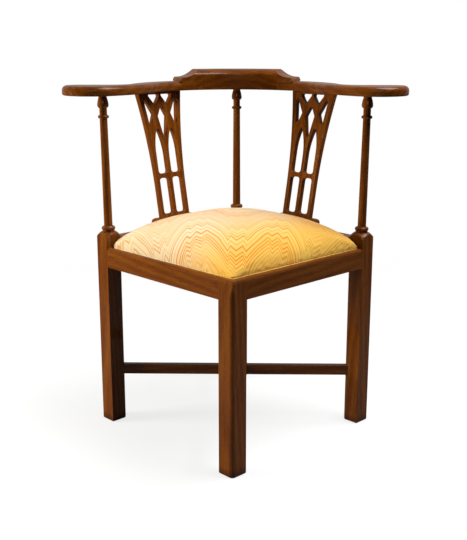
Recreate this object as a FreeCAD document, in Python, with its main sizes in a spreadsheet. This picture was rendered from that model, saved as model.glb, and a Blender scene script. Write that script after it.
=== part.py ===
"""Corner chair with pierced splats, turned columns, a horseshoe arm rail and a drop-in seat.

Millimetres. The origin is on the floor under the middle of the seat frame. X is right, Y is back
and Z is up. The seat frame is a square stood on its corner, so one leg is at the front (-Y), one
at the back (+Y) and one at each side. The sides of the square are drawn with local x along a rail
and local y outwards, and are then turned about Z.
"""
import FreeCAD, Part
import math
import os

import Sketcher

SIZES = [
    ("SeatWidth", 424, "outer face of a rail to the outer face of the opposite rail"),
    ("LegSize", 38.6, "square section of a leg"),
    ("FrontCornerRound", 9, "rounded outer corner of the front leg"),
    ("CornerRound", 4, "rounded outer corner of the other legs"),
    ("CornerBevel", 4, "bevel on the inner corner of every leg"),
    ("FootRound", 4, "rounded edge under each foot"),
    ("EdgeSoftness", 1, "eased edge of sawn pieces"),
    ("CornerStopRise", 2, "top of the stop of that rounded corner above the seat ledge"),
    ("CornerStopRound", 0.4, "what is left of the rounding at the top of its stop"),
    ("LegShoulder", 417, "height at which the side and back legs leave the square"),
    ("LegTop", 432, "top of the turned shoulder"),
    ("ShoulderRadius", 16, "radius of the turned shoulder at its top"),
    ("ShoulderBow", 30, "radius of the curve of the turned shoulder"),
    ("ShoulderReach", 1, "end of that curve outside the corner of the leg"),
    ("FrontRailTop", 401, "height of the front rails"),
    ("RailBottom", 358, "height of the underside of all rails"),
    ("RearRailTop", 418, "height of the rear rails"),
    ("FrontRailThickness", 24, "front rail, outside to inside"),
    ("RearRailThickness", 24, "rear rail above the ledge"),
    ("RearLedge", 10, "how far the ledge of a rear rail stands in from its upper part"),
    ("LipWidth", 10, "front rail outside the drop-in seat"),
    ("SeatDrop", 16, "depth of the ledge below the top of the front rails"),
    ("LipRound", 5.5, "quarter round along the top of the front rails"),
    ("LipStep", 0.8, "small step under that quarter round"),
    ("TenonLength", 20, "rail tenon"),
    ("TenonThickness", 9, "rail tenon"),
    ("TenonSetback", 7.5, "outer face of a rail to its tenon"),
    ("TenonShoulder", 4, "shoulder above and below a rail tenon"),
    ("GlueGap", 0.1, "clearance round a tenon or housing"),
    ("GlueRoom", 1, "room under the pin of a column"),
    ("RunOut", 10, "how far a cutter runs past the wood"),
    ("StretcherBottom", 108.5, "height of the underside of the stretchers"),
    ("StretcherDepth", 22.4, "stretcher, top to bottom"),
    ("StretcherThickness", 13.7, "stretcher, side to side"),
    ("StretcherHousing", 13, "how far a stretcher enters past the inner corner of a leg"),
    ("ColumnTenonRadius", 7, "pin at each end of a column"),
    ("ColumnTenonLength", 14, "pin at each end of a column"),
    ("ColumnBaseRadius", 13, "column where it stands on its leg"),
    ("ColumnBaseHeight", 4.3, "plain base under the bead"),
    ("ColumnBaseHollow", 12, "radius of the hollow round that base"),
    ("BeadRadius", 14.7, "bead at the foot of a column"),
    ("BeadHeight", 7.2, "bead at the foot of a column"),
    ("BeadStep", 1.6, "bead beyond the wood above and below it"),
    ("BeadCurve", 5.4, "radius of the curve of the bead"),
    ("FootCoveHeight", 3, "cove from the bead into the shaft"),
    ("FootCoveWidth", 1.5, "cove from the bead into the shaft"),
    ("FootCoveCurve", 4, "radius of that cove"),
    ("ShaftFootRadius", 9.1, "shaft above the bead"),
    ("ShaftHeadRadius", 8, "shaft below the ring"),
    ("RingRadius", 11.6, "thin ring near the top of a column"),
    ("RingHeight", 6.5, "thin ring near the top of a column"),
    ("RingStep", 2, "ring beyond the wood above and below it"),
    ("RingCurve", 4.03, "radius of the curve of the ring"),
    ("RingBelowArm", 40, "top of the ring down from the arm"),
    ("NeckRadius", 7.9, "neck above the ring"),
    ("BulbRadius", 11.9, "widest part of the bulb"),
    ("BulbHeight", 25.5, "bulb with the throat above it"),
    ("BulbBelowArm", 18.5, "widest part of the bulb down from the arm"),
    ("BulbCurve", 7, "radius of the curve under the bulb"),
    ("BulbSweep", 50, "radius of the curve from the bulb to the throat"),
    ("ThroatRadius", 8.8, "column where it meets the arm"),
    ("ThroatHeight", 4, "straight part of the throat"),
    ("ColumnSplay", 0.65, "degrees that a side column leans outwards"),
    ("ArmUnderside", 720.4, "height of the underside of the arms"),
    ("ArmThickness", 20.2, "arm, top to bottom"),
    ("ArmWidth", 54.6, "width of the horseshoe rail"),
    ("ArmRadius", 208, "middle line of the horseshoe rail"),
    ("ArmTopRound", 10, "rounded top edge of the arms"),
    ("ArmFootRound", 4, "rounded bottom edge of the arms"),
    ("PaddleX", 298.5, "centre of the hand rest, from the middle of the chair"),
    ("PaddleY", 27, "centre of the hand rest, behind the side legs"),
    ("PaddleRadius", 66, "front curve of a hand rest"),
    ("PaddleCornerRadius", 32, "outer back corner of a hand rest"),
    ("PaddleHollow", 300, "gentle curve from the hand rest into the rail"),
    ("PaddleNeck", 40, "inside curve behind the hand rest"),
    ("JointAngle", 31.7, "degrees from the back to the joint of arm and crest"),
    ("CrestRise", 26.4, "top of the crest rail above the arms"),
    ("CrestFrontRise", 15.4, "top of its upright front face above the arms"),
    ("CrestFrontRound", 6, "rounded edge between that face and the slope"),
    ("CrestSlopeWidth", 24, "sloping top of the crest rail, front to back"),
    ("CrestSlopeBow", 34, "radius of the curve of that slope"),
    ("CrestBackRound", 10, "rounded top edge at the back of the crest rail"),
    ("CapInnerAngle", 44.3, "degrees from the back to the cap end at the inner face"),
    ("CapOuterAngle", 39.2, "degrees from the back to the cap end at the outer face"),
    ("CapOverlap", 1, "degrees that a cap end lies on the rounded part of its arm"),
    ("CapSpare", 8, "degrees of cap beyond each end, cut away as the end is shaped"),
    ("CapNoseFoot", 0.5, "foot of the nose of a cap end above the arm"),
    ("CapNoseHeight", 9.5, "rounded nose of a cap end"),
    ("CapNoseLength", 5.5, "rounded nose of a cap end"),
    ("CapNoseRadius", 8.5, "rounded nose of a cap end"),
    ("CapSweepLength", 50, "hollow sweep from the nose to the top"),
    ("CapSweepRadius", 56, "hollow sweep from the nose to the top"),
    ("ShoeLength", 117, "shoe along its rail"),
    ("ShoeWidth", 22, "shoe across its rail"),
    ("ShoeHeight", 23, "shoe above its rail"),
    ("ShoeRound", 8, "rounded top edge of a shoe"),
    ("SplatThickness", 11.5, "splat board"),
    ("SplatRake", 10.6, "degrees that a splat leans outwards"),
    ("SplatFootWidth", 82, "splat at the shoe"),
    ("SplatHeadWidth", 126, "splat at the arm"),
    ("SplatStraight", 0.2111, "top of the parallel part of a splat, share of its height"),
    ("SplatHousing", 8, "how far a splat enters its shoe and its arm"),
    ("SlotFoot", 7, "solid wood below the lower slots"),
    ("SlotHead", 0.3096, "top of the lower slots, share of the height of the splat"),
    ("SplatMullion", 9, "bar between the lower slots"),
    ("SplatStile", 8.5, "bar outside the lower slots"),
    ("CrossBar", 10.8, "bar between the slots and the lancets"),
    ("LancetInnerSpring", 0.4813, "foot of the inner curve of a pointed opening, share of the height"),
    ("LancetOuterSpring", 0.5164, "foot of its outer curve, share of the height"),
    ("LancetTip", 0.7047, "its tip, share of the height"),
    ("LancetPoint", 0.4878, "its tip, share of half the foot of the splat"),
    ("KiteFoot", 0.6332, "foot of the middle opening, share of the height"),
    ("KiteShoulder", 0.8004, "its widest place, share of the height"),
    ("KiteHead", 0.8936, "its tip, share of the height"),
    ("KiteOut", 0.2183, "its widest place, share of half the head of the splat"),
    ("KiteFootWidth", 7, "middle opening at its foot"),
    ("LeafFoot", 0.7423, "foot of a side opening, share of the height"),
    ("LeafFootOut", 0.5873, "its foot, share of half the head"),
    ("LeafFootWidth", 7, "side opening at its foot"),
    ("LeafBelly", 0.8215, "its inner point, share of the height"),
    ("LeafBellyOut", 0.3810, "its inner point, share of half the head"),
    ("LeafHead", 0.9428, "its tip, share of the height"),
    ("LeafHeadOut", 0.6825, "its tip, share of half the head"),
    ("LeafCheek", 0.9147, "its outer corner, share of the height"),
    ("LeafCheekOut", 0.7540, "its outer corner, share of half the head"),
    ("CrownFoot", 0.8883, "foot of a top opening, share of the height"),
    ("CrownFootOut", 0.2857, "its foot, share of half the head"),
    ("CrownHead", 0.9763, "its top, share of the height"),
    ("CrownInnerOut", 0.0444, "its inner side, share of half the head"),
    ("CrownOuterOut", 0.5317, "its outer side, share of half the head"),
    ("PiercingRound", 4.5, "rounded corners of the openings"),
    ("SlotRound", 6, "rounded corners of the slots and of the feet of the lancets"),
    ("LancetTipWidth", 6, "blunt tip of a pointed opening"),
    ("LancetTipRound", 3.3, "blunt tip of a pointed opening"),
    ("SeatClearance", 1.2, "gap round the drop-in seat"),
    ("SeatRest", 0.3, "gap between the drop-in seat and the ledge"),
    ("MemberWidth", 50, "seat frame member"),
    ("MemberThickness", 13, "seat frame member"),
    ("CoverThickness", 1.2, "fabric cover"),
    ("WebWidth", 45, "webbing strap"),
    ("WebThickness", 1, "webbing strap"),
    ("WebCount", 3, "straps each way"),
    ("WebPitch", 85, "straps, middle to middle"),
    ("WebLanding", 30, "strap on a seat frame member"),
    ("TackHeadRadius", 3, "tack"),
    ("TackHeadHeight", 0.8, "tack"),
    ("TackPinRadius", 0.9, "tack"),
    ("TackPinLength", 10, "tack"),
    ("TackTip", 0.2, "radius of the point of a tack"),
    ("TackInset", 10, "tack from the end of its strap"),
    ("TackSpread", 15.75, "outer tacks of a strap from its middle"),
    ("SeatEdgeHeight", 4, "upright side of the stuffing above the front rails"),
    ("SeatCrown", 72, "middle of the seat above the front rails"),
    ("SeatFullness", 2.6, "exponent of the crown: 2 is round, more is squarer"),
    ("SeatCornerRound", 5, "rounded corner of the drop-in seat"),
    ("ClothThickness", 0.8, "bottom cloth"),
    ("ClothInset", 2, "bottom cloth inside the ledge"),
    ("ClothCorner", 45, "corner cut off the bottom cloth"),
    ("ClothTackInset", 8, "tack from the edge of the bottom cloth"),
    ("ClothTackPitch", 50, "tacks of the bottom cloth, middle to middle"),
    ("BlockReach", 45, "corner block along a rail from the leg"),
    ("BlockHeight", 22, "corner block"),
    ("BlockDrop", 1.5, "top of a corner block below the ledge"),
    ("ScrewRadius", 2.2, "wood screw"),
    ("ScrewHeadRadius", 4.2, "wood screw"),
    ("ScrewHeadHeight", 2.6, "wood screw"),
    ("ScrewPoint", 4, "length of the point of a wood screw"),
    ("ScrewTip", 0.4, "radius of the tip of a wood screw"),
    ("BlockScrewAlong", 18, "screw of a corner block from the leg"),
    ("BlockScrewLength", 30, "screw through a corner block"),
    ("BlockScrewGrip", 18, "corner block under the head of a screw"),
    ("CrestScrewLength", 26, "screw through an arm into the crest rail"),
    ("CrestScrewSink", 5, "recess of the head of a crest screw"),
    ("CrestScrewAngle", 35.5, "degrees from the back to the crest screws"),
    ("CrestScrewSpread", 24, "crest screws of one joint, apart"),
]

doc = FreeCAD.newDocument("CornerChair")
sizes = doc.addObject("Spreadsheet::Sheet", "Sizes")
for row, (alias, millimetres, meaning) in enumerate(SIZES, 1):
    sizes.set(f"A{row}", meaning)
    sizes.set(f"B{row}", str(millimetres))
    sizes.setAlias(f"B{row}", alias)
doc.recompute()

# Places that several pieces share, as expressions of the sheet.
HALF = "(Sizes.SeatWidth / 2)"
LEG_FACE = f"({HALF} - Sizes.LegSize)"
LEG_AXIS = f"({HALF} - Sizes.LegSize / 2)"
LEG_AXIS_REACH = f"({LEG_AXIS} * sqrt(2))"
LEG_CORNER_REACH = "(Sizes.LegSize / sqrt(2))"
INNER_CORNER_REACH = f"({LEG_FACE} * sqrt(2))"
LEDGE = "(Sizes.FrontRailTop - Sizes.SeatDrop)"
FRONT_RAIL_INSIDE = f"({HALF} - Sizes.FrontRailThickness)"
REAR_RAIL_INSIDE = f"({HALF} - Sizes.RearRailThickness)"
REAR_LEDGE_INSIDE = f"({REAR_RAIL_INSIDE} - Sizes.RearLedge)"
LIP_INSIDE = f"({HALF} - Sizes.LipWidth)"
TENON_OUTSIDE = f"({HALF} - Sizes.TenonSetback)"
TENON_BOTTOM = "(Sizes.RailBottom + Sizes.TenonShoulder)"
TENON_HEIGHT = f"({LEDGE} - Sizes.TenonShoulder - {TENON_BOTTOM})"
ARM_TOP = "(Sizes.ArmUnderside + Sizes.ArmThickness)"
CREST_TOP = f"({ARM_TOP} + Sizes.CrestRise)"
ARM_CENTRE = f"({LEG_AXIS_REACH} - Sizes.ArmRadius)"
ARM_INSIDE = "(Sizes.ArmRadius - Sizes.ArmWidth / 2)"
ARM_OUTSIDE = "(Sizes.ArmRadius + Sizes.ArmWidth / 2)"
STRETCHER_REACH = f"({INNER_CORNER_REACH} + Sizes.StretcherHousing)"
SHOE_LINE = f"({HALF} - Sizes.RearRailThickness / 2)"
SHOE_TOP = "(Sizes.RearRailTop + Sizes.ShoeHeight)"
SPLAT_RISE = f"((Sizes.ArmUnderside - {SHOE_TOP}) / cos(Sizes.SplatRake))"
SEAT_BOTTOM = f"({LEDGE} + Sizes.SeatRest)"
SEAT_FRAME_TOP = f"({SEAT_BOTTOM} + Sizes.MemberThickness)"
STUFFING_BOTTOM = f"({SEAT_FRAME_TOP} + 2 * Sizes.WebThickness + Sizes.TackHeadHeight)"
SEAT_FRONT = f"({LIP_INSIDE} - Sizes.SeatClearance)"
SEAT_REAR = f"({REAR_RAIL_INSIDE} - Sizes.SeatClearance)"
SEAT_NOTCH = f"({LEG_FACE} - Sizes.SeatClearance)"

# Turn of each rail and leg about Z. A rail lies along local x, with local y outwards.
# A leg stands where local x and y are both outwards.
RAIL_TURN = {"front_left": 135, "front_right": -135, "rear_left": 45, "rear_right": -45}
LEG_TURN = {"front": -135, "left": 135, "right": -45, "back": 45}
SEAT_TURN = 45

# Two places nearer than this are the same.
NEAR = 0.01


def num(expression):
    """Value of an expression of the sheet."""
    return float(sizes.evalExpression(expression))


def place(x, y, z, turn="0", axis="0; 0; 1"):
    """Expression of a placement: a move to (x, y, z) and a turn about an axis there."""
    return f"placement(vector({x}; {y}; {z}); rotation(vector({axis}); {turn}))"


def new_body(label, placement):
    body = doc.addObject("PartDesign::Body", label)
    body.Label = label
    body.setExpression("Placement", placement)
    return body


def origin_plane(body, role):
    return next(item for item in body.Origin.OriginFeatures if item.Role == role)


def arc_middle(start, end, radius):
    """Middle of the arc from start to end. The arc turns left when radius is positive."""
    chord = end - start
    left = FreeCAD.Vector(-chord.y, chord.x, 0).normalize()
    rise = math.sqrt(max(radius ** 2 - (chord.Length / 2) ** 2, 0))
    side = 1 if radius > 0 else -1
    centre = (start + end) * 0.5 + left * rise * side
    return centre - left * abs(radius) * side


def sketch_on(body, name, role, loops, offset=None):
    """Sketch of closed loops on an origin plane of a body.

    A point is (x, y), reached by a line, or (x, y, radius), reached by an arc. Expressions of the
    sheet are kept as constraints, so that the sketch follows them.
    """
    sketch = body.newObject("Sketcher::SketchObject", name)
    sketch.AttachmentSupport = [(origin_plane(body, role), "")]
    sketch.MapMode = "FlatFace"
    if offset:
        sketch.setExpression("AttachmentOffset", offset)
    for loop in loops:
        draw_loop(sketch, loop)
    return sketch


def draw_loop(sketch, loop):
    value = [[num(item) if isinstance(item, str) else item for item in point] for point in loop]
    spot = [FreeCAD.Vector(point[0], point[1], 0) for point in value]
    first = sketch.GeometryCount
    count = len(loop)
    ends = []
    for index in range(count):
        following = (index + 1) % count
        if len(loop[following]) == 3:
            radius = value[following][2]
            middle = arc_middle(spot[index], spot[following], radius)
            sketch.addGeometry(Part.Arc(spot[index], middle, spot[following]))
            ends.append((1, 2) if radius > 0 else (2, 1))
        else:
            sketch.addGeometry(Part.LineSegment(spot[index], spot[following]))
            ends.append((1, 2))
    for index in range(count):
        following = (index + 1) % count
        join = Sketcher.Constraint(
            "Coincident", first + index, ends[index][1], first + following, ends[following][0])
        sketch.addConstraint(join)
        for kind, item, number in zip(("DistanceX", "DistanceY"), loop[index], value[index]):
            if isinstance(item, str):
                spot_at = Sketcher.Constraint(kind, -1, 1, first + index, ends[index][0], number)
                sketch.setExpression(f"Constraints[{sketch.addConstraint(spot_at)}]", item)
        radius = loop[following][2] if len(loop[following]) == 3 else None
        if isinstance(radius, str):
            bend = Sketcher.Constraint("Radius", first + index, abs(value[following][2]))
            sketch.setExpression(f"Constraints[{sketch.addConstraint(bend)}]", f"abs({radius})")


def rectangle(x0, y0, x1, y1):
    return [(x0, y0), (x1, y0), (x1, y1), (x0, y1)]


def rounded(corners, radius):
    """Loop through the corners, each rounded as far as its sides allow."""
    spot = [FreeCAD.Vector(x, y, 0) for x, y in corners]
    loop = []
    for index, corner in enumerate(spot):
        arriving = corner - spot[index - 1]
        leaving = spot[(index + 1) % len(spot)] - corner
        turn = math.atan2(arriving.cross(leaving).z, arriving.dot(leaving))
        room = 0.45 * min(arriving.Length, leaving.Length)
        reach = min(radius * math.tan(abs(turn) / 2), room)
        bend = reach / math.tan(abs(turn) / 2)
        start = corner - arriving.normalize() * reach
        end = corner + leaving.normalize() * reach
        loop.append((start.x, start.y))
        loop.append((end.x, end.y, math.copysign(bend, turn)))
    return loop


def mirrored(loop):
    """The same loop on the other side of local x = 0, drawn the same way round."""
    turned = []
    count = len(loop)
    for index in range(count - 1, -1, -1):
        arriving = loop[(index + 1) % count]
        bend = (arriving[2],) if len(arriving) == 3 else ()
        turned.append((-loop[index][0], loop[index][1]) + bend)
    return turned


def pad(body, name, sketch, length, both_ways=False):
    feature = body.newObject("PartDesign::Pad", name)
    feature.Profile = sketch
    feature.Midplane = both_ways
    feature.setExpression("Length", length)
    doc.recompute()
    return feature


def pocket_through(body, name, sketch):
    """Cut a sketch through the whole body, both ways, and make sure that it removed wood."""
    before = body.Shape.Volume
    feature = body.newObject("PartDesign::Pocket", name)
    feature.Profile = sketch
    feature.Type = "ThroughAll"
    feature.Midplane = True
    doc.recompute()
    must_shrink(body, name, before)
    return feature


def turned(body, name, sketch, kind="PartDesign::Revolution", angle="360", both_ways=False):
    """Turn a sketch about its own vertical axis, to add wood or, as a groove, to remove it."""
    before = body.Shape.Volume if body.Tip else 0
    feature = body.newObject(kind, name)
    feature.Profile = sketch
    feature.ReferenceAxis = (sketch, ["V_Axis"])
    feature.Midplane = both_ways
    feature.setExpression("Angle", angle)
    doc.recompute()
    if kind == "PartDesign::Groove":
        must_shrink(body, name, before)
    return feature


def must_shrink(body, name, before):
    if not body.Shape.Volume < before:
        raise RuntimeError(f"{body.Label}: {name} removed nothing")


def box(body, name, length, width, height, placement, adds=False):
    """Box that adds to a body, or is cut out of it."""
    before = body.Shape.Volume
    kind = "PartDesign::AdditiveBox" if adds else "PartDesign::SubtractiveBox"
    feature = body.newObject(kind, name)
    feature.setExpression("Length", length)
    feature.setExpression("Width", width)
    feature.setExpression("Height", height)
    feature.setExpression("Placement", placement)
    doc.recompute()
    if not adds:
        must_shrink(body, name, before)
    return feature


def bore(body, name, radius, depth, placement):
    """Round hole cut into a body along the local z of the placement."""
    before = body.Shape.Volume
    feature = body.newObject("PartDesign::SubtractiveCylinder", name)
    feature.setExpression("Radius", radius)
    feature.setExpression("Height", depth)
    feature.setExpression("Placement", placement)
    doc.recompute()
    must_shrink(body, name, before)
    return feature


def fillet(body, name, radius, wanted):
    """Round the edges of the body's last feature that pass the test."""
    base = body.Tip
    names = [f"Edge{index}" for index, edge in enumerate(base.Shape.Edges, 1) if wanted(edge)]
    if not names:
        raise RuntimeError(f"{body.Label}: {name} found no edge")
    feature = body.newObject("PartDesign::Fillet", name)
    feature.Base = (base, names)
    feature.setExpression("Radius", radius)
    doc.recompute()
    return feature


def is_upright(edge):
    reach = edge.BoundBox
    return reach.ZLength > NEAR and reach.XLength < NEAR and reach.YLength < NEAR


def lies_at_height(edge, height):
    return abs(edge.BoundBox.ZMin - height) < NEAR and abs(edge.BoundBox.ZMax - height) < NEAR


def solid_group(label, solids, placement):
    """One node made of separate solids, such as like screws."""
    group = doc.addObject("Part::Feature", label)
    group.Label = label
    group.Shape = Part.Compound(solids)
    group.setExpression("Placement", placement)
    return group


# Legs. The square section has a rounded outer corner and a bevelled inner corner.
def leg(side, top):
    body = new_body(f"{side}_leg", place("0", "0", "0", LEG_TURN[side]))
    bevelled = f"({LEG_FACE} + Sizes.CornerBevel)"
    section = [
        (bevelled, LEG_FACE), (HALF, LEG_FACE), (HALF, HALF), (LEG_FACE, HALF), (LEG_FACE, bevelled)]
    pad(body, "Square", sketch_on(body, "Section", "XY_Plane", [section]), top)
    outer = num(HALF)
    inner = num(LEG_FACE)

    def side_corner(edge):
        middle = edge.CenterOfMass
        return is_upright(edge) and abs(middle.x - middle.y) > (outer - inner) / 2

    def outer_corner(edge):
        return is_upright(edge) and min(edge.CenterOfMass.x, edge.CenterOfMass.y) > outer - NEAR

    fillet(body, "SideCorners", "Sizes.EdgeSoftness", side_corner)
    if side == "front":
        front_corner_stop(body)
    else:
        fillet(body, "OuterCorner", "Sizes.CornerRound", outer_corner)
    fillet(body, "FootEdge", "Sizes.FootRound", lambda edge: lies_at_height(edge, 0))
    cut_rail_mortises(body)
    cut_stretcher_housing(body)
    return body


def front_corner_stop(body):
    """Round the outer corner of the front leg up to a tapered stop under the moulding."""
    stop_top = f"({LEDGE} + Sizes.CornerStopRise)"
    stop_bottom = f"({stop_top} - 2 * Sizes.FrontCornerRound)"

    def corner(radius):
        start = f"({HALF} - {radius})"
        outside = f"({HALF} + Sizes.RunOut)"
        return [(start, outside), (start, HALF), (HALF, start, f"-({radius})"), (outside, start),
                (outside, outside)]

    round_full = sketch_on(body, "CornerRounding", "XY_Plane", [corner("Sizes.FrontCornerRound")])
    before = body.Shape.Volume
    cut = body.newObject("PartDesign::Pocket", "RoundedCorner")
    cut.Profile = round_full
    cut.Reversed = True
    cut.setExpression("Length", stop_bottom)
    doc.recompute()
    must_shrink(body, "RoundedCorner", before)
    lower = sketch_on(body, "StopFoot", "XY_Plane", [corner("Sizes.FrontCornerRound")],
                      place("0", "0", stop_bottom))
    upper = sketch_on(body, "StopHead", "XY_Plane", [corner("Sizes.CornerStopRound")],
                      place("0", "0", stop_top))
    before = body.Shape.Volume
    taper = body.newObject("PartDesign::SubtractiveLoft", "CornerStop")
    taper.Profile = lower
    taper.Sections = [upper]
    taper.Ruled = True
    doc.recompute()
    must_shrink(body, "CornerStop", before)


def cut_rail_mortises(body):
    gap = "Sizes.GlueGap"
    deep = f"(Sizes.TenonLength + {gap})"
    thick = f"(Sizes.TenonThickness + 2 * {gap})"
    tall = f"({TENON_HEIGHT} + 2 * {gap})"
    inside = f"({TENON_OUTSIDE} - Sizes.TenonThickness - {gap})"
    low = f"({TENON_BOTTOM} - {gap})"
    box(body, "MortiseAlongX", deep, thick, tall, place(LEG_FACE, inside, low))
    box(body, "MortiseAlongY", thick, deep, tall, place(inside, LEG_FACE, low))


def cut_stretcher_housing(body):
    gap = "Sizes.GlueGap"
    long = f"({STRETCHER_REACH} + {gap} - {INNER_CORNER_REACH} + Sizes.RunOut)"
    wide = f"(Sizes.StretcherThickness + 2 * {gap})"
    tall = f"(Sizes.StretcherDepth + 2 * {gap})"
    along_diagonal = place("0", "0", "0", SEAT_TURN)
    at_corner = place(f"({INNER_CORNER_REACH} - Sizes.RunOut)", f"(-{wide} / 2)",
                      f"(Sizes.StretcherBottom - {gap})")
    box(body, "StretcherHousing", long, wide, tall, f"{along_diagonal} * {at_corner}")


def turn_shoulder(body):
    """Turn the top of a leg round, so that its square ends in four low arches."""
    corner = f"({LEG_CORNER_REACH} + Sizes.ShoulderReach)"
    above = "(Sizes.LegTop + Sizes.RunOut)"
    outside = f"({corner} + Sizes.RunOut)"
    waste = [
        ("Sizes.ShoulderRadius", above), ("Sizes.ShoulderRadius", "Sizes.LegTop"),
        (corner, "Sizes.LegShoulder", "-Sizes.ShoulderBow"), (outside, "Sizes.LegShoulder"),
        (outside, above)]
    on_axis = place(LEG_AXIS, "0", f"(-{LEG_AXIS})")
    turned(body, "TurnedShoulder", sketch_on(body, "ShoulderWaste", "XZ_Plane", [waste], on_axis),
           "PartDesign::Groove")


def bore_for_column(body, lean):
    """Bore that leans with its column, and a seat for the foot of the column that leans as well."""
    on_axis = place(LEG_AXIS, LEG_AXIS, "Sizes.LegTop", lean, "1; -1; 0")
    deep = "(Sizes.ColumnTenonLength + Sizes.GlueRoom)"
    bore(body, "ColumnBore", "(Sizes.ColumnTenonRadius + Sizes.GlueGap)", f"({deep} + Sizes.RunOut)",
         f"{on_axis} * {place('0', '0', f'(-{deep})')}")
    if lean != "0":
        bore(body, "ColumnSeat", "(Sizes.ColumnBaseRadius + Sizes.GlueGap)", "Sizes.RunOut", on_axis)


def cut_seat_corner(body):
    """Ledge and moulding where the front rails meet on top of the front leg."""
    wide = f"({LIP_INSIDE} - {LEG_FACE} + Sizes.RunOut)"
    start = f"({LEG_FACE} - Sizes.RunOut)"
    box(body, "SeatCorner", wide, wide, "(Sizes.SeatDrop + Sizes.RunOut)", place(start, start, LEDGE))
    for role, name in (("YZ_Plane", "MouldingAlongX"), ("XZ_Plane", "MouldingAlongY")):
        pocket_through(body, name, sketch_on(body, f"{name}Waste", role, [moulding_waste()]))


def moulding_waste():
    """What a front rail loses at its top outer edge: a small step and a quarter round above it."""
    step = f"({HALF} - Sizes.LipStep)"
    foot = "(Sizes.FrontRailTop - Sizes.LipRound)"
    head = f"({step} - Sizes.LipRound)"
    above = "(Sizes.FrontRailTop + Sizes.RunOut)"
    outside = f"({HALF} + Sizes.RunOut)"
    return [(outside, foot), (outside, above), (head, above), (head, "Sizes.FrontRailTop"),
            (step, foot, "-Sizes.LipRound")]


front_leg = leg("front", "Sizes.FrontRailTop")
cut_seat_corner(front_leg)
tall_legs = {side: leg(side, "Sizes.LegTop") for side in ("left", "right", "back")}
for side, body in tall_legs.items():
    turn_shoulder(body)
    bore_for_column(body, "0" if side == "back" else "(-Sizes.ColumnSplay)")


# Rails. Each is one board with a ledge on its inside for the seat and a tenon at each end.
def front_rail_section():
    step = f"({HALF} - Sizes.LipStep)"
    foot = "(Sizes.FrontRailTop - Sizes.LipRound)"
    soft = "Sizes.EdgeSoftness"
    return [
        (f"({HALF} - {soft})", "Sizes.RailBottom"), (HALF, f"(Sizes.RailBottom + {soft})", soft),
        (HALF, foot), (step, foot),
        (f"({step} - Sizes.LipRound)", "Sizes.FrontRailTop", "Sizes.LipRound"),
        (LIP_INSIDE, "Sizes.FrontRailTop"), (LIP_INSIDE, LEDGE), (FRONT_RAIL_INSIDE, LEDGE),
        (FRONT_RAIL_INSIDE, "Sizes.RailBottom")]


def rear_rail_section():
    soft = "Sizes.EdgeSoftness"
    top = "Sizes.RearRailTop"
    return [
        (f"({HALF} - {soft})", "Sizes.RailBottom"), (HALF, f"(Sizes.RailBottom + {soft})", soft),
        (HALF, f"({top} - {soft})"), (f"({HALF} - {soft})", top, soft),
        (REAR_RAIL_INSIDE, top), (REAR_RAIL_INSIDE, LEDGE), (REAR_LEDGE_INSIDE, LEDGE),
        (REAR_LEDGE_INSIDE, "Sizes.RailBottom")]


def rail(side, section):
    body = new_body(f"{side}_rail", place("0", "0", "0", RAIL_TURN[side]))
    profile = sketch_on(body, "Section", "YZ_Plane", [section])
    pad(body, "Board", profile, f"(2 * {LEG_FACE})", both_ways=True)
    inside = f"({TENON_OUTSIDE} - Sizes.TenonThickness)"
    for name, start in (("LeftTenon", f"(-{LEG_FACE} - Sizes.TenonLength)"), ("RightTenon", LEG_FACE)):
        box(body, name, "Sizes.TenonLength", "Sizes.TenonThickness", TENON_HEIGHT,
            place(start, inside, TENON_BOTTOM), adds=True)
    return body


for side in RAIL_TURN:
    rail(side, front_rail_section() if side.startswith("front") else rear_rail_section())


# Stretchers. The two cross under the middle of the seat and are halved into each other there.
def stretcher(label, turn, notch_bottom):
    body = new_body(label, place("0", "0", "0", turn))
    half_thick = "(Sizes.StretcherThickness / 2)"
    top = "(Sizes.StretcherBottom + Sizes.StretcherDepth)"
    section = rectangle(f"(-{half_thick})", "Sizes.StretcherBottom", half_thick, top)
    pad(body, "Bar", sketch_on(body, "Section", "YZ_Plane", [section]), f"(2 * {STRETCHER_REACH})",
        both_ways=True)
    fillet(body, "LongEdges", "Sizes.EdgeSoftness", lambda edge: edge.BoundBox.XLength > NEAR)
    wide = "(Sizes.StretcherThickness + 2 * Sizes.GlueGap)"
    through = f"({wide} + Sizes.RunOut)"
    box(body, "Halving", wide, through, "(Sizes.StretcherDepth / 2 + Sizes.RunOut)",
        place(f"(-{wide} / 2)", f"(-{through} / 2)", notch_bottom))
    return body


stretcher("side_stretcher", 0, "(Sizes.StretcherBottom - Sizes.RunOut)")
stretcher("front_back_stretcher", 90, "(Sizes.StretcherBottom + Sizes.StretcherDepth / 2)")


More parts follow.
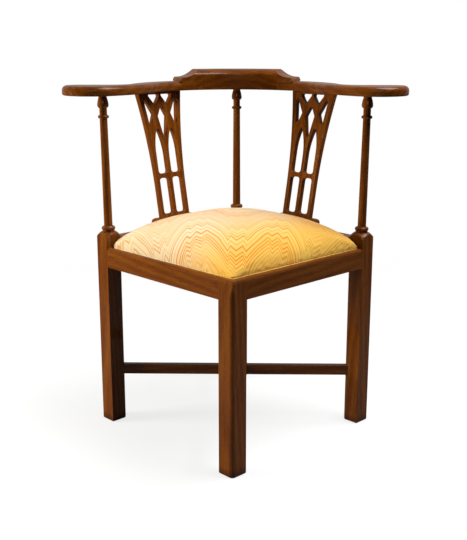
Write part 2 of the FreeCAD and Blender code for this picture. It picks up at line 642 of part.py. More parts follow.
# Columns. Each is turned in one piece with a pin at either end.
def column(side):
    lean = "0" if side == "back" else "(-Sizes.ColumnSplay)"
    turn = place("0", "0", "0", LEG_TURN[side])
    stand = place(LEG_AXIS, LEG_AXIS, "Sizes.LegTop", lean, "1; -1; 0")
    body = new_body(f"{side}_column", f"{turn} * {stand}")
    height = "(Sizes.ArmUnderside - Sizes.LegTop)"
    bead_top = "(Sizes.ColumnBaseHeight + Sizes.BeadHeight)"
    bead_middle = "(Sizes.ColumnBaseHeight + Sizes.BeadHeight / 2)"
    bead_edge = "(Sizes.BeadRadius - Sizes.BeadStep)"
    shaft_foot = f"({bead_top} + Sizes.FootCoveHeight)"
    ring_top = f"({height} - Sizes.RingBelowArm)"
    ring_foot = f"({ring_top} - Sizes.RingHeight)"
    ring_middle = f"({ring_foot} + Sizes.RingHeight / 2)"
    ring_edge = "(Sizes.RingRadius - Sizes.RingStep)"
    bulb_foot = f"({height} - Sizes.BulbHeight)"
    bulb_wide = f"({height} - Sizes.BulbBelowArm)"
    throat = f"({height} - Sizes.ThroatHeight)"
    tenon = "Sizes.ColumnTenonRadius"
    profile = [
        ("0", "(-Sizes.ColumnTenonLength)"), (tenon, "(-Sizes.ColumnTenonLength)"), (tenon, "0"),
        ("Sizes.ColumnBaseRadius", "0"),
        ("Sizes.ColumnBaseRadius", "Sizes.ColumnBaseHeight", "-Sizes.ColumnBaseHollow"),
        (bead_edge, "Sizes.ColumnBaseHeight"), ("Sizes.BeadRadius", bead_middle, "Sizes.BeadCurve"),
        (bead_edge, bead_top, "Sizes.BeadCurve"),
        ("(Sizes.ShaftFootRadius + Sizes.FootCoveWidth)", bead_top),
        ("Sizes.ShaftFootRadius", shaft_foot, "-Sizes.FootCoveCurve"),
        ("Sizes.ShaftHeadRadius", ring_foot), (ring_edge, ring_foot),
        ("Sizes.RingRadius", ring_middle, "Sizes.RingCurve"), (ring_edge, ring_top, "Sizes.RingCurve"),
        ("Sizes.NeckRadius", ring_top), ("Sizes.NeckRadius", bulb_foot),
        ("Sizes.BulbRadius", bulb_wide, "Sizes.BulbCurve"),
        ("Sizes.ThroatRadius", throat, "Sizes.BulbSweep"), ("Sizes.ThroatRadius", height),
        (tenon, height), (tenon, f"({height} + Sizes.ColumnTenonLength)"),
        ("0", f"({height} + Sizes.ColumnTenonLength)")]
    turned(body, "Turning", sketch_on(body, "Profile", "XZ_Plane", [profile]))
    return body


for side in ("left", "right", "back"):
    column(side)


# Shoes. Each stands on its rear rail and holds the foot of a splat.
def splat_place(turn):
    """Placement of a splat: local x across, y up the rake, z inwards, from the top of the shoe."""
    stand = place("0", SHOE_LINE, SHOE_TOP, "(90 - Sizes.SplatRake)", "1; 0; 0")
    return f"{place('0', '0', '0', turn)} * {stand}"


def splat_housing(body, name, turn, width, start):
    """Housing for one end of a splat, as deep as the splat enters."""
    gap = "Sizes.GlueGap"
    wide = f"({width} + 2 * {gap})"
    thick = f"(Sizes.SplatThickness + 2 * {gap})"
    deep = f"(Sizes.SplatHousing + {gap} + Sizes.RunOut)"
    box(body, name, wide, deep, thick,
        f"{splat_place(turn)} * {place(f'(-{wide} / 2)', start, f'(-{thick} / 2)')}")


def shoe(side):
    body = new_body(f"{side}_shoe", place("0", "0", "0", RAIL_TURN[f"rear_{side}"]))
    plan = rectangle("(-Sizes.ShoeLength / 2)", f"({SHOE_LINE} - Sizes.ShoeWidth / 2)",
                     "(Sizes.ShoeLength / 2)", f"({SHOE_LINE} + Sizes.ShoeWidth / 2)")
    base = sketch_on(body, "Plan", "XY_Plane", [plan], place("0", "0", "Sizes.RearRailTop"))
    pad(body, "Block", base, "Sizes.ShoeHeight")
    shoe_top = num(SHOE_TOP)
    fillet(body, "TopEdge", "Sizes.ShoeRound", lambda edge: lies_at_height(edge, shoe_top))
    splat_housing(body, "SplatHousing", "0", "Sizes.SplatFootWidth",
                  "(-Sizes.SplatHousing - Sizes.GlueGap)")
    return body


for side in ("left", "right"):
    shoe(side)


# Splats. A board that flares towards the arm, pierced with pointed tracery.
def splat(side):
    body = new_body(f"{side}_splat", splat_place(RAIL_TURN[f"rear_{side}"]))
    foot = "(Sizes.SplatFootWidth / 2)"
    head = "(Sizes.SplatHeadWidth / 2)"
    waist = f"({SPLAT_RISE} * Sizes.SplatStraight)"
    rise = f"({SPLAT_RISE} - {waist})"
    spread = f"({head} - {foot})"
    flare = f"(({rise} ^ 2 + {spread} ^ 2) / (2 * {spread}))"
    top = f"({SPLAT_RISE} + Sizes.SplatHousing)"
    bottom = "(-Sizes.SplatHousing)"
    board = [
        (f"(-{foot})", bottom), (foot, bottom), (foot, waist),
        (head, SPLAT_RISE, f"(-{flare})"), (head, top), (f"(-{head})", top),
        (f"(-{head})", SPLAT_RISE), (f"(-{foot})", waist, f"(-{flare})")]
    pad(body, "Board", sketch_on(body, "Outline", "XY_Plane", [board]), "Sizes.SplatThickness",
        both_ways=True)
    right_half = [slot(), lancet(), leaf(), crown_opening()]
    loops = right_half + [mirrored(loop) for loop in right_half] + [kite()]
    pocket_through(body, "Tracery", sketch_on(body, "Openings", "XY_Plane", loops))
    return body


def up(share):
    """Height on a splat, from its share of the splat's height."""
    return num(f"{SPLAT_RISE} * Sizes.{share}")


def out(share):
    """Place across a splat, from its share of half the splat's head."""
    return num(f"Sizes.SplatHeadWidth / 2 * Sizes.{share}")


def slot():
    inner = num("Sizes.SplatMullion / 2")
    outer = num("Sizes.SplatFootWidth / 2 - Sizes.SplatStile")
    foot, head = num("Sizes.SlotFoot"), up("SlotHead")
    return rounded([(inner, foot), (outer, foot), (outer, head), (inner, head)],
                   num("Sizes.SlotRound"))


def lancet():
    """Upright sides that lean together in two arcs, which meet in a blunt point."""
    inner = num("Sizes.SplatMullion / 2")
    outer = num("Sizes.SplatFootWidth / 2 - Sizes.SplatStile")
    foot = up("SlotHead") + num("Sizes.CrossBar")
    tip_x, tip = num("Sizes.SplatFootWidth / 2 * Sizes.LancetPoint"), up("LancetTip")
    inner_spring, outer_spring = up("LancetInnerSpring"), up("LancetOuterSpring")
    bend = num("Sizes.SlotRound")
    beside, below = num("Sizes.LancetTipWidth / 2"), num("Sizes.LancetTipWidth / 3")

    def arc_to_tip(across, along):
        return (across ** 2 + along ** 2) / (2 * across)

    outer_arc = arc_to_tip(outer - tip_x - beside, tip - below - outer_spring)
    inner_arc = arc_to_tip(tip_x - beside - inner, tip - below - inner_spring)
    return [
        (inner + bend, foot, bend), (outer - bend, foot), (outer, foot + bend, bend),
        (outer, outer_spring), (tip_x + beside, tip - below, outer_arc),
        (tip_x - beside, tip - below, num("Sizes.LancetTipRound")), (inner, inner_spring, inner_arc),
        (inner, foot + bend)]


def kite():
    """Middle opening: a point above, widest near the top and narrow at the foot."""
    toe, wide = num("Sizes.KiteFootWidth / 2"), out("KiteOut")
    foot, shoulder = up("KiteFoot"), up("KiteShoulder")
    return rounded([(-toe, foot), (toe, foot), (wide, shoulder), (0, up("KiteHead")), (-wide, shoulder)],
                   num("Sizes.PiercingRound"))


def leaf():
    """Side opening between the outer edge and the ribs that cross in the middle."""
    foot, toe = up("LeafFoot"), out("LeafFootOut")
    toe_half = num("Sizes.LeafFootWidth / 2")
    corners = [
        (toe - toe_half, foot), (toe + toe_half, foot), (out("LeafCheekOut"), up("LeafCheek")),
        (out("LeafHeadOut"), up("LeafHead")), (out("LeafBellyOut"), up("LeafBelly"))]
    return rounded(corners, num("Sizes.PiercingRound"))


def crown_opening():
    """Top opening: a flat head under the arm and a point below."""
    head = up("CrownHead")
    inner, outer = out("CrownInnerOut"), out("CrownOuterOut")
    cheek = head - num("Sizes.PiercingRound")
    corners = [(out("CrownFootOut"), up("CrownFoot")), (outer, cheek), (outer, head), (inner, head),
               (inner, cheek)]
    return rounded(corners, num("Sizes.PiercingRound"))


for side in ("left", "right"):
    splat(side)


# Arms. Each half of the horseshoe rail ends in a hand rest and runs under the crest rail.
def around_back(radius, degrees, side):
    """Point on a circle round the middle of the horseshoe, in degrees from the back."""
    angle = math.radians(degrees)
    return (side * radius * math.sin(angle), num(ARM_CENTRE) + radius * math.cos(angle))


def arm_outline(side):
    """Plan of an arm outside the cap of the crest rail. Side is -1 for the left arm."""
    middle = FreeCAD.Vector(0, num(ARM_CENTRE), 0)
    paddle = FreeCAD.Vector(num("Sizes.PaddleX"), num("Sizes.PaddleY"), 0)
    inside, outside = num(ARM_INSIDE), num(ARM_OUTSIDE)
    front, hollow = num("Sizes.PaddleRadius"), num("Sizes.PaddleHollow")
    corner, neck = num("Sizes.PaddleCornerRadius"), num("Sizes.PaddleNeck")
    hollow_centre = circle_touching(middle, inside + hollow, paddle, hollow - front)
    hollow_start = middle + (hollow_centre - middle).normalize() * inside
    hollow_end = paddle + (paddle - hollow_centre).normalize() * front
    back_line = paddle.y + corner
    corner_start = (paddle.x + front, paddle.y)
    corner_end = (paddle.x + front - corner, back_line)
    neck_y = back_line + neck
    neck_x = math.sqrt((outside + neck) ** 2 - (neck_y - middle.y) ** 2)
    neck_centre = FreeCAD.Vector(neck_x, neck_y, 0)
    neck_end = middle + (neck_centre - middle).normalize() * outside
    lap_in = around_back(inside, num("Sizes.CapInnerAngle - Sizes.CapOverlap"), 1)
    lap_out = around_back(outside, num("Sizes.CapOuterAngle - Sizes.CapOverlap"), 1)
    right = [
        lap_in, (hollow_start.x, hollow_start.y, -inside), (hollow_end.x, hollow_end.y, hollow),
        corner_start + (front,), corner_end + (corner,), (neck_x, back_line),
        (neck_end.x, neck_end.y, -neck), lap_out + (outside,)]
    return right if side > 0 else mirrored(right)


def circle_touching(first, first_distance, second, second_distance):
    """Point at two given distances from two centres, on the side away from the front."""
    across = second - first
    span = across.Length
    along = (first_distance ** 2 - second_distance ** 2 + span ** 2) / (2 * span)
    off = math.sqrt(first_distance ** 2 - along ** 2)
    way = across * (1 / span)
    return first + way * along + FreeCAD.Vector(-way.y, way.x, 0) * off


def lap_outline(side):
    """Plan of the part of an arm that lies under the cap and ends at the joint."""
    inside, outside = num(ARM_INSIDE), num(ARM_OUTSIDE)
    joint = num("Sizes.JointAngle")
    right = [
        around_back(inside, joint, 1),
        around_back(inside, num("Sizes.CapInnerAngle - Sizes.CapOverlap"), 1) + (-inside,),
        around_back(outside, num("Sizes.CapOuterAngle - Sizes.CapOverlap"), 1),
        around_back(outside, joint, 1) + (outside,)]
    return right if side > 0 else mirrored(right)


def crest_screw_spots(side):
    spread = num("Sizes.CrestScrewSpread / 2")
    angle = num("Sizes.CrestScrewAngle")
    return [around_back(num("Sizes.ArmRadius") + offset, angle, side) for offset in (-spread, spread)]


def arm(label, side):
    body = new_body(f"{label}_arm", place("0", "0", "0"))
    lift = place("0", "0", "Sizes.ArmUnderside")
    pad(body, "Rail", sketch_on(body, "RailPlan", "XY_Plane", [arm_outline(side)], lift),
        "Sizes.ArmThickness")
    lap_end = [FreeCAD.Vector(*around_back(num(radius), num(f"{angle} - Sizes.CapOverlap"), side), 0)
               for radius, angle in ((ARM_INSIDE, "Sizes.CapInnerAngle"),
                                     (ARM_OUTSIDE, "Sizes.CapOuterAngle"))]
    lap_middle = (lap_end[0] + lap_end[1]) * 0.5

    def outline_at(height):
        def wanted(edge):
            middle = edge.CenterOfMass
            at_lap = abs(middle.x - lap_middle.x) < NEAR and abs(middle.y - lap_middle.y) < NEAR
            return lies_at_height(edge, height) and not at_lap
        return wanted

    fillet(body, "RoundedTop", "Sizes.ArmTopRound", outline_at(num(ARM_TOP)))
    fillet(body, "RoundedFoot", "Sizes.ArmFootRound", outline_at(num("Sizes.ArmUnderside")))
    pad(body, "Lap", sketch_on(body, "LapPlan", "XY_Plane", [lap_outline(side)], lift),
        "Sizes.ArmThickness")
    leg_side = "left" if side < 0 else "right"
    stand = place(LEG_AXIS, LEG_AXIS, "Sizes.LegTop", "(-Sizes.ColumnSplay)", "1; -1; 0")
    below = place("0", "0", "(Sizes.ArmUnderside - Sizes.LegTop - Sizes.RunOut)")
    on_column = f"{place('0', '0', '0', LEG_TURN[leg_side])} * {stand} * {below}"
    bore(body, "ColumnBore", "(Sizes.ColumnTenonRadius + Sizes.GlueGap)",
         "(Sizes.ColumnTenonLength + Sizes.RunOut + Sizes.GlueGap)", on_column)
    bore(body, "ColumnSeat", "(Sizes.ThroatRadius + Sizes.GlueGap)", "Sizes.RunOut", on_column)
    splat_housing(body, "SplatHousing", RAIL_TURN[f"rear_{leg_side}"], "Sizes.SplatHeadWidth",
                  f"({SPLAT_RISE} - Sizes.RunOut)")
    for index, (x, y) in enumerate(crest_screw_spots(side), 1):
        bore(body, f"ScrewSink{index}", "(Sizes.ScrewHeadRadius + Sizes.GlueGap)",
             "(Sizes.CrestScrewSink + Sizes.RunOut)", place(x, y, "(Sizes.ArmUnderside - Sizes.RunOut)"))
    return body


arm("left", -1)
arm("right", 1)


# Crest rail. A block fills the gap between the arms and a cap above it laps over both of them.
def crest_rail():
    body = new_body("crest_rail", place("0", "0", "0"))
    on_centre = place(ARM_CENTRE, "0", "0")
    block = rectangle(ARM_INSIDE, "Sizes.ArmUnderside", ARM_OUTSIDE, ARM_TOP)
    turned(body, "Block", sketch_on(body, "BlockSection", "YZ_Plane", [block], on_centre),
           angle="(2 * Sizes.JointAngle)", both_ways=True)
    slope_back = f"({ARM_INSIDE} + Sizes.CrestSlopeWidth)"
    cap = [
        (ARM_INSIDE, ARM_TOP), (ARM_OUTSIDE, ARM_TOP),
        (ARM_OUTSIDE, f"({CREST_TOP} - Sizes.CrestBackRound)"),
        (f"({ARM_OUTSIDE} - Sizes.CrestBackRound)", CREST_TOP, "Sizes.CrestBackRound"),
        (slope_back, CREST_TOP),
        (ARM_INSIDE, f"({ARM_TOP} + Sizes.CrestFrontRise)", "Sizes.CrestSlopeBow")]
    turned(body, "Cap", sketch_on(body, "CapSection", "YZ_Plane", [cap], on_centre),
           angle="(2 * (Sizes.CapInnerAngle + Sizes.CapSpare))", both_ways=True)
    front_edge = num(f"{ARM_TOP} + Sizes.CrestFrontRise")
    fillet(body, "FrontEdge", "Sizes.CrestFrontRound", lambda edge: lies_at_height(edge, front_edge))
    end_in = FreeCAD.Vector(*around_back(num(ARM_INSIDE), num("Sizes.CapInnerAngle"), 1), 0)
    end_out = FreeCAD.Vector(*around_back(num(ARM_OUTSIDE), num("Sizes.CapOuterAngle"), 1), 0)
    slant = math.degrees(math.atan2(end_out.x - end_in.x, end_out.y - end_in.y))
    across_end = place(end_in.x, "0", -end_in.y, -slant, "0; 1; 0")
    nose_top = f"({ARM_TOP} + Sizes.CapNoseHeight)"
    below = f"({ARM_TOP} - Sizes.RunOut)"
    above = f"({CREST_TOP} + Sizes.RunOut)"
    outside = "(Sizes.ArmWidth + Sizes.RunOut)"
    waste = [
        ("0", below), (outside, below), (outside, above), ("(-Sizes.CapSweepLength)", above),
        ("(-Sizes.CapSweepLength)", CREST_TOP),
        ("(-Sizes.CapNoseLength)", nose_top, "Sizes.CapSweepRadius"),
        ("0", f"({ARM_TOP} + Sizes.CapNoseFoot)", "-Sizes.CapNoseRadius")]
    end = pocket_through(body, "CapEnd", sketch_on(body, "CapEndWaste", "XZ_Plane", [waste], across_end))
    before = body.Shape.Volume
    other_end = body.newObject("PartDesign::Mirrored", "OtherCapEnd")
    other_end.Originals = [end]
    other_end.MirrorPlane = (origin_plane(body, "YZ_Plane"), [""])
    body.Tip = other_end
    doc.recompute()
    must_shrink(body, "OtherCapEnd", before)
    bore(body, "ColumnBore", "(Sizes.ColumnTenonRadius + Sizes.GlueGap)",
         "(Sizes.ColumnTenonLength + Sizes.RunOut + Sizes.GlueGap)",
         place("0", LEG_AXIS_REACH, "(Sizes.ArmUnderside - Sizes.RunOut)"))
    return body


crest_rail()


# Corner blocks. Each fills the angle of two rails round the inner corner of a leg, under the seat.
BLOCK_RAILS = {
    "front": (FRONT_RAIL_INSIDE, FRONT_RAIL_INSIDE),
    "left": (REAR_LEDGE_INSIDE, FRONT_RAIL_INSIDE),
    "right": (FRONT_RAIL_INSIDE, REAR_LEDGE_INSIDE),
    "back": (REAR_LEDGE_INSIDE, REAR_LEDGE_INSIDE),
}
BLOCK_TOP = f"({LEDGE} - Sizes.BlockDrop)"
BLOCK_BOTTOM = f"({BLOCK_TOP} - Sizes.BlockHeight)"
BLOCK_END = f"({LEG_FACE} - Sizes.BlockReach)"
BLOCK_SCREW_ALONG = f"({LEG_FACE} - Sizes.BlockScrewAlong)"
BLOCK_MIDDLE = f"({BLOCK_TOP} - Sizes.BlockHeight / 2)"


def block_screws_of(side):
    """For each of the two screws: where its sunk head starts, and the axis that turns it there."""
    rail_x, rail_y = BLOCK_RAILS[side]
    grip = "Sizes.BlockScrewGrip"
    return [((BLOCK_SCREW_ALONG, f"({rail_y} - {grip})", BLOCK_MIDDLE), (-1, 0, 0)),
            ((f"({rail_x} - {grip})", BLOCK_SCREW_ALONG, BLOCK_MIDDLE), (0, 1, 0))]


def corner_block(side):
    rail_x, rail_y = BLOCK_RAILS[side]
    body = new_body(f"{side}_corner_block", place("0", "0", "0", LEG_TURN[side]))
    plan = [
        (BLOCK_END, rail_y), (rail_x, BLOCK_END), (rail_x, LEG_FACE), (LEG_FACE, LEG_FACE),
        (LEG_FACE, rail_y)]
    base = sketch_on(body, "Plan", "XY_Plane", [plan], place("0", "0", BLOCK_BOTTOM))
    pad(body, "Block", base, "Sizes.BlockHeight")
    outwards = place("0", "0", "(-Sizes.BlockReach)")
    for index, (spot, axis) in enumerate(block_screws_of(side), 1):
        turn = "{}; {}; {}".format(*axis)
        bore(body, f"ScrewSink{index}", "(Sizes.ScrewHeadRadius + Sizes.GlueGap)", "Sizes.BlockReach",
             f"{place(*spot, 90, turn)} * {outwards}")
    return body


for side in BLOCK_RAILS:
    corner_block(side)


# Fasteners of the frame: countersunk wood screws, all of one kind in one node.
def screw(length):
    """Screw along +Z with the top of its head at z = 0."""
    radius, straight = num("Sizes.ScrewRadius"), length - num("Sizes.ScrewPoint")
    head = Part.makeCone(num("Sizes.ScrewHeadRadius"), radius, num("Sizes.ScrewHeadHeight"))
    shank = Part.makeCylinder(radius, straight)
    point = Part.makeCone(radius, num("Sizes.ScrewTip"), num("Sizes.ScrewPoint"),
                          FreeCAD.Vector(0, 0, straight))
    return head.fuse([shank, point]).removeSplitter()


def placed(solid, spot, axis=FreeCAD.Vector(0, 0, 1), degrees=0.0, turn=0.0):
    """Copy of a solid, turned about an axis, moved to a spot and then turned about Z."""
    stand = FreeCAD.Placement(FreeCAD.Vector(*spot), FreeCAD.Rotation(axis, degrees))
    about_z = FreeCAD.Placement(FreeCAD.Vector(0, 0, 0), FreeCAD.Rotation(FreeCAD.Vector(0, 0, 1), turn))
    copy = solid.copy()
    copy.Placement = about_z.multiply(stand)
    return copy


block_screw = screw(num("Sizes.BlockScrewLength"))
block_screws = []
for side in BLOCK_RAILS:
    for spot, axis in block_screws_of(side):
        numbers = [num(item) for item in spot]
        block_screws.append(placed(block_screw, numbers, FreeCAD.Vector(*axis), 90, LEG_TURN[side]))
solid_group("corner_block_screws", block_screws, place("0", "0", "0"))

crest_screw = screw(num("Sizes.CrestScrewLength"))
crest_screw_seat = num("Sizes.ArmUnderside + Sizes.CrestScrewSink")
crest_screws = [placed(crest_screw, (x, y, crest_screw_seat))
                for side in (-1, 1) for x, y in crest_screw_spots(side)]
solid_group("crest_screws", crest_screws, place("0", "0", "0"))


# Drop-in seat. It is drawn square, with local x to the rear right and local y to the rear left.
SEAT_PLACE = place("0", "0", "0", SEAT_TURN)


def cut_notches(body, inset):
    """Notches for the left, right and back legs. Inset is how far a layer lies inside the cover."""
    wide = "(Sizes.LegSize + Sizes.RunOut)"
    tall = "(Sizes.SeatDrop + Sizes.SeatCrown + 2 * Sizes.RunOut)"
    notch = f"({SEAT_NOTCH} - {inset})"
    low = f"({SEAT_BOTTOM} - Sizes.RunOut)"
    for name, x, y in (("BackNotch", notch, notch), ("LeftNotch", f"(-{notch} - {wide})", notch),
                       ("RightNotch", notch, f"(-{notch} - {wide})")):
        feature = body.newObject("PartDesign::SubtractiveBox", name)
        feature.setExpression("Length", wide)
        feature.setExpression("Width", wide)
        feature.setExpression("Height", tall)
        feature.setExpression("Placement", place(x, y, low))
        doc.recompute()


def seat_member(label, long_way, at_front):
    """Seat frame member, halved into its neighbours at both ends."""
    body = new_body(label, SEAT_PLACE)
    low = f"(-{SEAT_FRONT} + Sizes.CoverThickness)"
    high = f"({SEAT_REAR} - Sizes.CoverThickness)"
    near = low if at_front else f"({high} - Sizes.MemberWidth)"
    far = f"({low} + Sizes.MemberWidth)" if at_front else high
    plan = rectangle(low, near, high, far) if long_way == "x" else rectangle(near, low, far, high)
    base = sketch_on(body, "Plan", "XY_Plane", [plan], place("0", "0", SEAT_BOTTOM))
    pad(body, "Board", base, "Sizes.MemberThickness")
    if at_front:
        front = num(low)
        fillet(body, "FrontCorner", "Sizes.SeatCornerRound", lambda edge: is_upright(edge) and
               max(edge.CenterOfMass.x, edge.CenterOfMass.y) < front + NEAR)
    half = "(Sizes.MemberThickness / 2)"
    lap_bottom = SEAT_BOTTOM if long_way == "x" else f"({SEAT_BOTTOM} + {half})"
    for name, start in (("FirstHalving", low), ("SecondHalving", f"({high} - Sizes.MemberWidth)")):
        spot = (start, near) if long_way == "x" else (near, start)
        box(body, name, "Sizes.MemberWidth", "Sizes.MemberWidth", half, place(*spot, lap_bottom))
    cut_notches(body, "Sizes.CoverThickness")
    return body


seat_member("seat_front_right_member", "x", True)
seat_member("seat_rear_left_member", "x", False)
seat_member("seat_front_left_member", "y", True)
seat_member("seat_rear_right_member", "y", False)


# Webbing: two layers of straps, tacked on top of the seat frame.
def web_offsets():
    count = int(num("Sizes.WebCount"))
    middle = (num(SEAT_REAR) - num(SEAT_FRONT)) / 2
    return [middle + num("Sizes.WebPitch") * (index - (count - 1) / 2) for index in range(count)]


web_start = num(f"-{SEAT_FRONT} + Sizes.CoverThickness + Sizes.MemberWidth - Sizes.WebLanding")
web_end = num(f"{SEAT_REAR} - Sizes.CoverThickness - Sizes.MemberWidth + Sizes.WebLanding")
web_wide, web_thick = num("Sizes.WebWidth"), num("Sizes.WebThickness")
web_floor = num(SEAT_FRAME_TOP)
straps = []
for offset in web_offsets():
    side = offset - web_wide / 2
    straps.append(Part.makeBox(web_end - web_start, web_wide, web_thick,
                               FreeCAD.Vector(web_start, side, web_floor)))
    straps.append(Part.makeBox(web_wide, web_end - web_start, web_thick,
                               FreeCAD.Vector(side, web_start, web_floor + web_thick)))
solid_group("seat_webbing", straps, SEAT_PLACE)


def tack(head_up):
    """Tack with the underside of its head at z = 0 and its pin pointing away from the head."""
    way = FreeCAD.Vector(0, 0, 1 if head_up else -1)
    head = Part.makeCylinder(num("Sizes.TackHeadRadius"), num("Sizes.TackHeadHeight"),
                             FreeCAD.Vector(0, 0, 0), way)
    pin = Part.makeCone(num("Sizes.TackPinRadius"), num("Sizes.TackTip"), num("Sizes.TackPinLength"),
                        FreeCAD.Vector(0, 0, 0), way * -1)
    return head.fuse(pin)


web_tacks = []
for offset in web_offsets():
    for across in (-1, 0, 1):
        for end, inward in ((web_start, 1), (web_end, -1)):
            along = end + inward * num("Sizes.TackInset")
            beside = offset + across * num("Sizes.TackSpread")
            web_tacks.append(placed(tack(True), (along, beside, web_floor + web_thick)))
            web_tacks.append(placed(tack(True), (beside, along, web_floor + 2 * web_thick)))
solid_group("webbing_tacks", web_tacks, SEAT_PLACE)


# Stuffing and cover. Both have the same crowned form, and the cover is hollowed by its inside.
# The form is drawn through level sections, each at its share of the height of the crown.
CROWN_SECTIONS = (0, 0.2, 0.45, 0.7, 0.88, 0.97)


def rounded_square(half, corner, middle):
    low, high = middle - half, middle + half
    return rounded([(low, low), (high, low), (high, high), (low, high)], corner)


def seat_form(label, inset, bottom):
    """Crowned form of the seat, drawn in by inset on its sides and top, from the given height up."""
    body = new_body(label, SEAT_PLACE)
    layer = num(inset)
    half = num(f"({SEAT_FRONT} + {SEAT_REAR}) / 2") - layer
    middle = num(f"({SEAT_REAR} - {SEAT_FRONT}) / 2")
    corner = num("Sizes.SeatCornerRound")
    edge_top = num("Sizes.FrontRailTop + Sizes.SeatEdgeHeight") - layer
    crown_top = num("Sizes.FrontRailTop + Sizes.SeatCrown") - layer
    plan = sketch_on(body, "Plan", "XY_Plane", [rounded_square(half, corner, middle)],
                     place("0", "0", bottom))
    pad(body, "Side", plan, f"({edge_top} - {bottom})")
    fullness = num("Sizes.SeatFullness")
    sections = []
    for index, share in enumerate(CROWN_SECTIONS):
        width = half * (1 - share ** 2) ** (1 / fullness)
        diagonal = half * (1 - share) ** (1 / fullness)
        bend = max((width - diagonal) / (1 - math.sqrt(0.5)), corner)
        height = edge_top + (crown_top - edge_top) * share
        sections.append(sketch_on(body, f"Crown{index}", "XY_Plane",
                                  [rounded_square(width, bend, middle)], place("0", "0", height)))
    crown = body.newObject("PartDesign::AdditiveLoft", "Crown")
    crown.Profile = sections[0]
    crown.Sections = sections[1:]
    doc.recompute()
    cut_notches(body, inset)
    return body


cover_outside = seat_form("cover_outside", "0", SEAT_BOTTOM)
cover_inside = seat_form("cover_inside", "Sizes.CoverThickness", f"({SEAT_BOTTOM} - Sizes.RunOut)")
seat_form("seat_pad", "Sizes.CoverThickness", STUFFING_BOTTOM)
seat_cover = doc.addObject("Part::Cut", "seat_cover")
seat_cover.Label = "seat_cover"
seat_cover.Base = cover_outside
seat_cover.Tool = cover_inside
doc.recompute()


# Bottom cloth, tacked under the seat frame inside the ledge, with its corners cut off.
def bottom_cloth():
    body = new_body("seat_bottom_cloth", SEAT_PLACE)
    low = f"(-{FRONT_RAIL_INSIDE} + Sizes.ClothInset)"
    high = f"({REAR_LEDGE_INSIDE} - Sizes.ClothInset)"
    cut = "Sizes.ClothCorner"
    plan = [
        (f"({low} + {cut})", low), (f"({high} - {cut})", low), (high, f"({low} + {cut})"),
        (high, f"({high} - {cut})"), (f"({high} - {cut})", high), (f"({low} + {cut})", high),
        (low, f"({high} - {cut})"), (low, f"({low} + {cut})")]
    lift = place("0", "0", f"({SEAT_BOTTOM} - Sizes.ClothThickness)")
    pad(body, "Sheet", sketch_on(body, "Plan", "XY_Plane", [plan], lift), "Sizes.ClothThickness")
    return body


bottom_cloth()

cloth_low = num(f"-{FRONT_RAIL_INSIDE} + Sizes.ClothInset + Sizes.ClothTackInset")
cloth_high = num(f"{REAR_LEDGE_INSIDE} - Sizes.ClothInset - Sizes.ClothTackInset")
cloth_under = num(f"{SEAT_BOTTOM} - Sizes.ClothThickness")
cloth_tack = tack(False)
cloth_tacks = []
for step in (-2, -1, 0, 1, 2):
    along = (cloth_low + cloth_high) / 2 + step * num("Sizes.ClothTackPitch")
    for edge in (cloth_low, cloth_high):
        cloth_tacks.append(placed(cloth_tack, (along, edge, cloth_under)))
        cloth_tacks.append(placed(cloth_tack, (edge, along, cloth_under)))
solid_group("bottom_cloth_tacks", cloth_tacks, SEAT_PLACE)

doc.recompute()

# Check every object, then write each piece. Forms that only shape the cover aren't pieces.
helpers = {"cover_outside", "cover_inside"}
for item in doc.Objects:
    if "Invalid" in item.State or "Error" in item.State:
        raise RuntimeError(f"{item.Label} failed: {item.State}")

os.makedirs("parts", exist_ok=True)
pieces = [item for item in doc.Objects
          if item.TypeId in ("PartDesign::Body", "Part::Cut", "Part::Feature")]
for piece in pieces:
    if piece.Label in helpers:
        continue
    shape = piece.Shape
    if shape.isNull() or not shape.isValid():
        raise RuntimeError(f"{piece.Label} has no valid shape")
    shape.exportStep(f"parts/{piece.Label}.step")
    bounds = shape.BoundBox
    print(f"{piece.Label}: {len(shape.Solids)} solid(s), {shape.Volume / 1000:.1f} cm3, "
          f"z {bounds.ZMin:.1f} to {bounds.ZMax:.1f}")
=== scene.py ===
import math

import bmesh
import bpy
import numpy as np
from mathutils import Matrix, Vector


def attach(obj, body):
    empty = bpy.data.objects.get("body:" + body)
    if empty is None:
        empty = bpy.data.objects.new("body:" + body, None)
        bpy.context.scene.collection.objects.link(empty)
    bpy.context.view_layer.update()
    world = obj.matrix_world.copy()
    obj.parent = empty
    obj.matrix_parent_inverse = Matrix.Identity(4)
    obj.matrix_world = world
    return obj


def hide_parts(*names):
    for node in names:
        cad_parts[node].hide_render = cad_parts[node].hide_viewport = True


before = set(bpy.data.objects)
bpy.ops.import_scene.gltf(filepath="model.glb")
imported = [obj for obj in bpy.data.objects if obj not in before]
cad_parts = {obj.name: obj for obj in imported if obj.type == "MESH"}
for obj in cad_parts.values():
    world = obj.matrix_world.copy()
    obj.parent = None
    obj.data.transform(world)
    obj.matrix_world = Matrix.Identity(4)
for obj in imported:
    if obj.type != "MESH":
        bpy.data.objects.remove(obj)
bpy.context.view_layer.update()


# The four legs: square mahogany posts, sawn from one plank and stained, with a lacquer rubbed to a
# soft gloss. The three at the back are turned round at the top to carry the columns.
def add(tree, kind, settings=None, **sockets):
    """Shader or geometry node. A socket is given by its name, and its value may be another socket."""
    made = tree.nodes.new(kind)
    for key, value in (settings or {}).items():
        setattr(made, key, value)
    for key, value in sockets.items():
        socket = made.inputs[key.replace("_", " ")]
        if isinstance(value, bpy.types.NodeSocket):
            tree.links.new(value, socket)
        else:
            socket.default_value = value
    return made


def figure(tree, operation, *terms):
    """Result of one operation on numbers or sockets."""
    made = tree.nodes.new("ShaderNodeMath")
    made.operation = operation
    for socket, term in zip(made.inputs, terms):
        if isinstance(term, bpy.types.NodeSocket):
            tree.links.new(term, socket)
        else:
            socket.default_value = term
    return made.outputs[0]


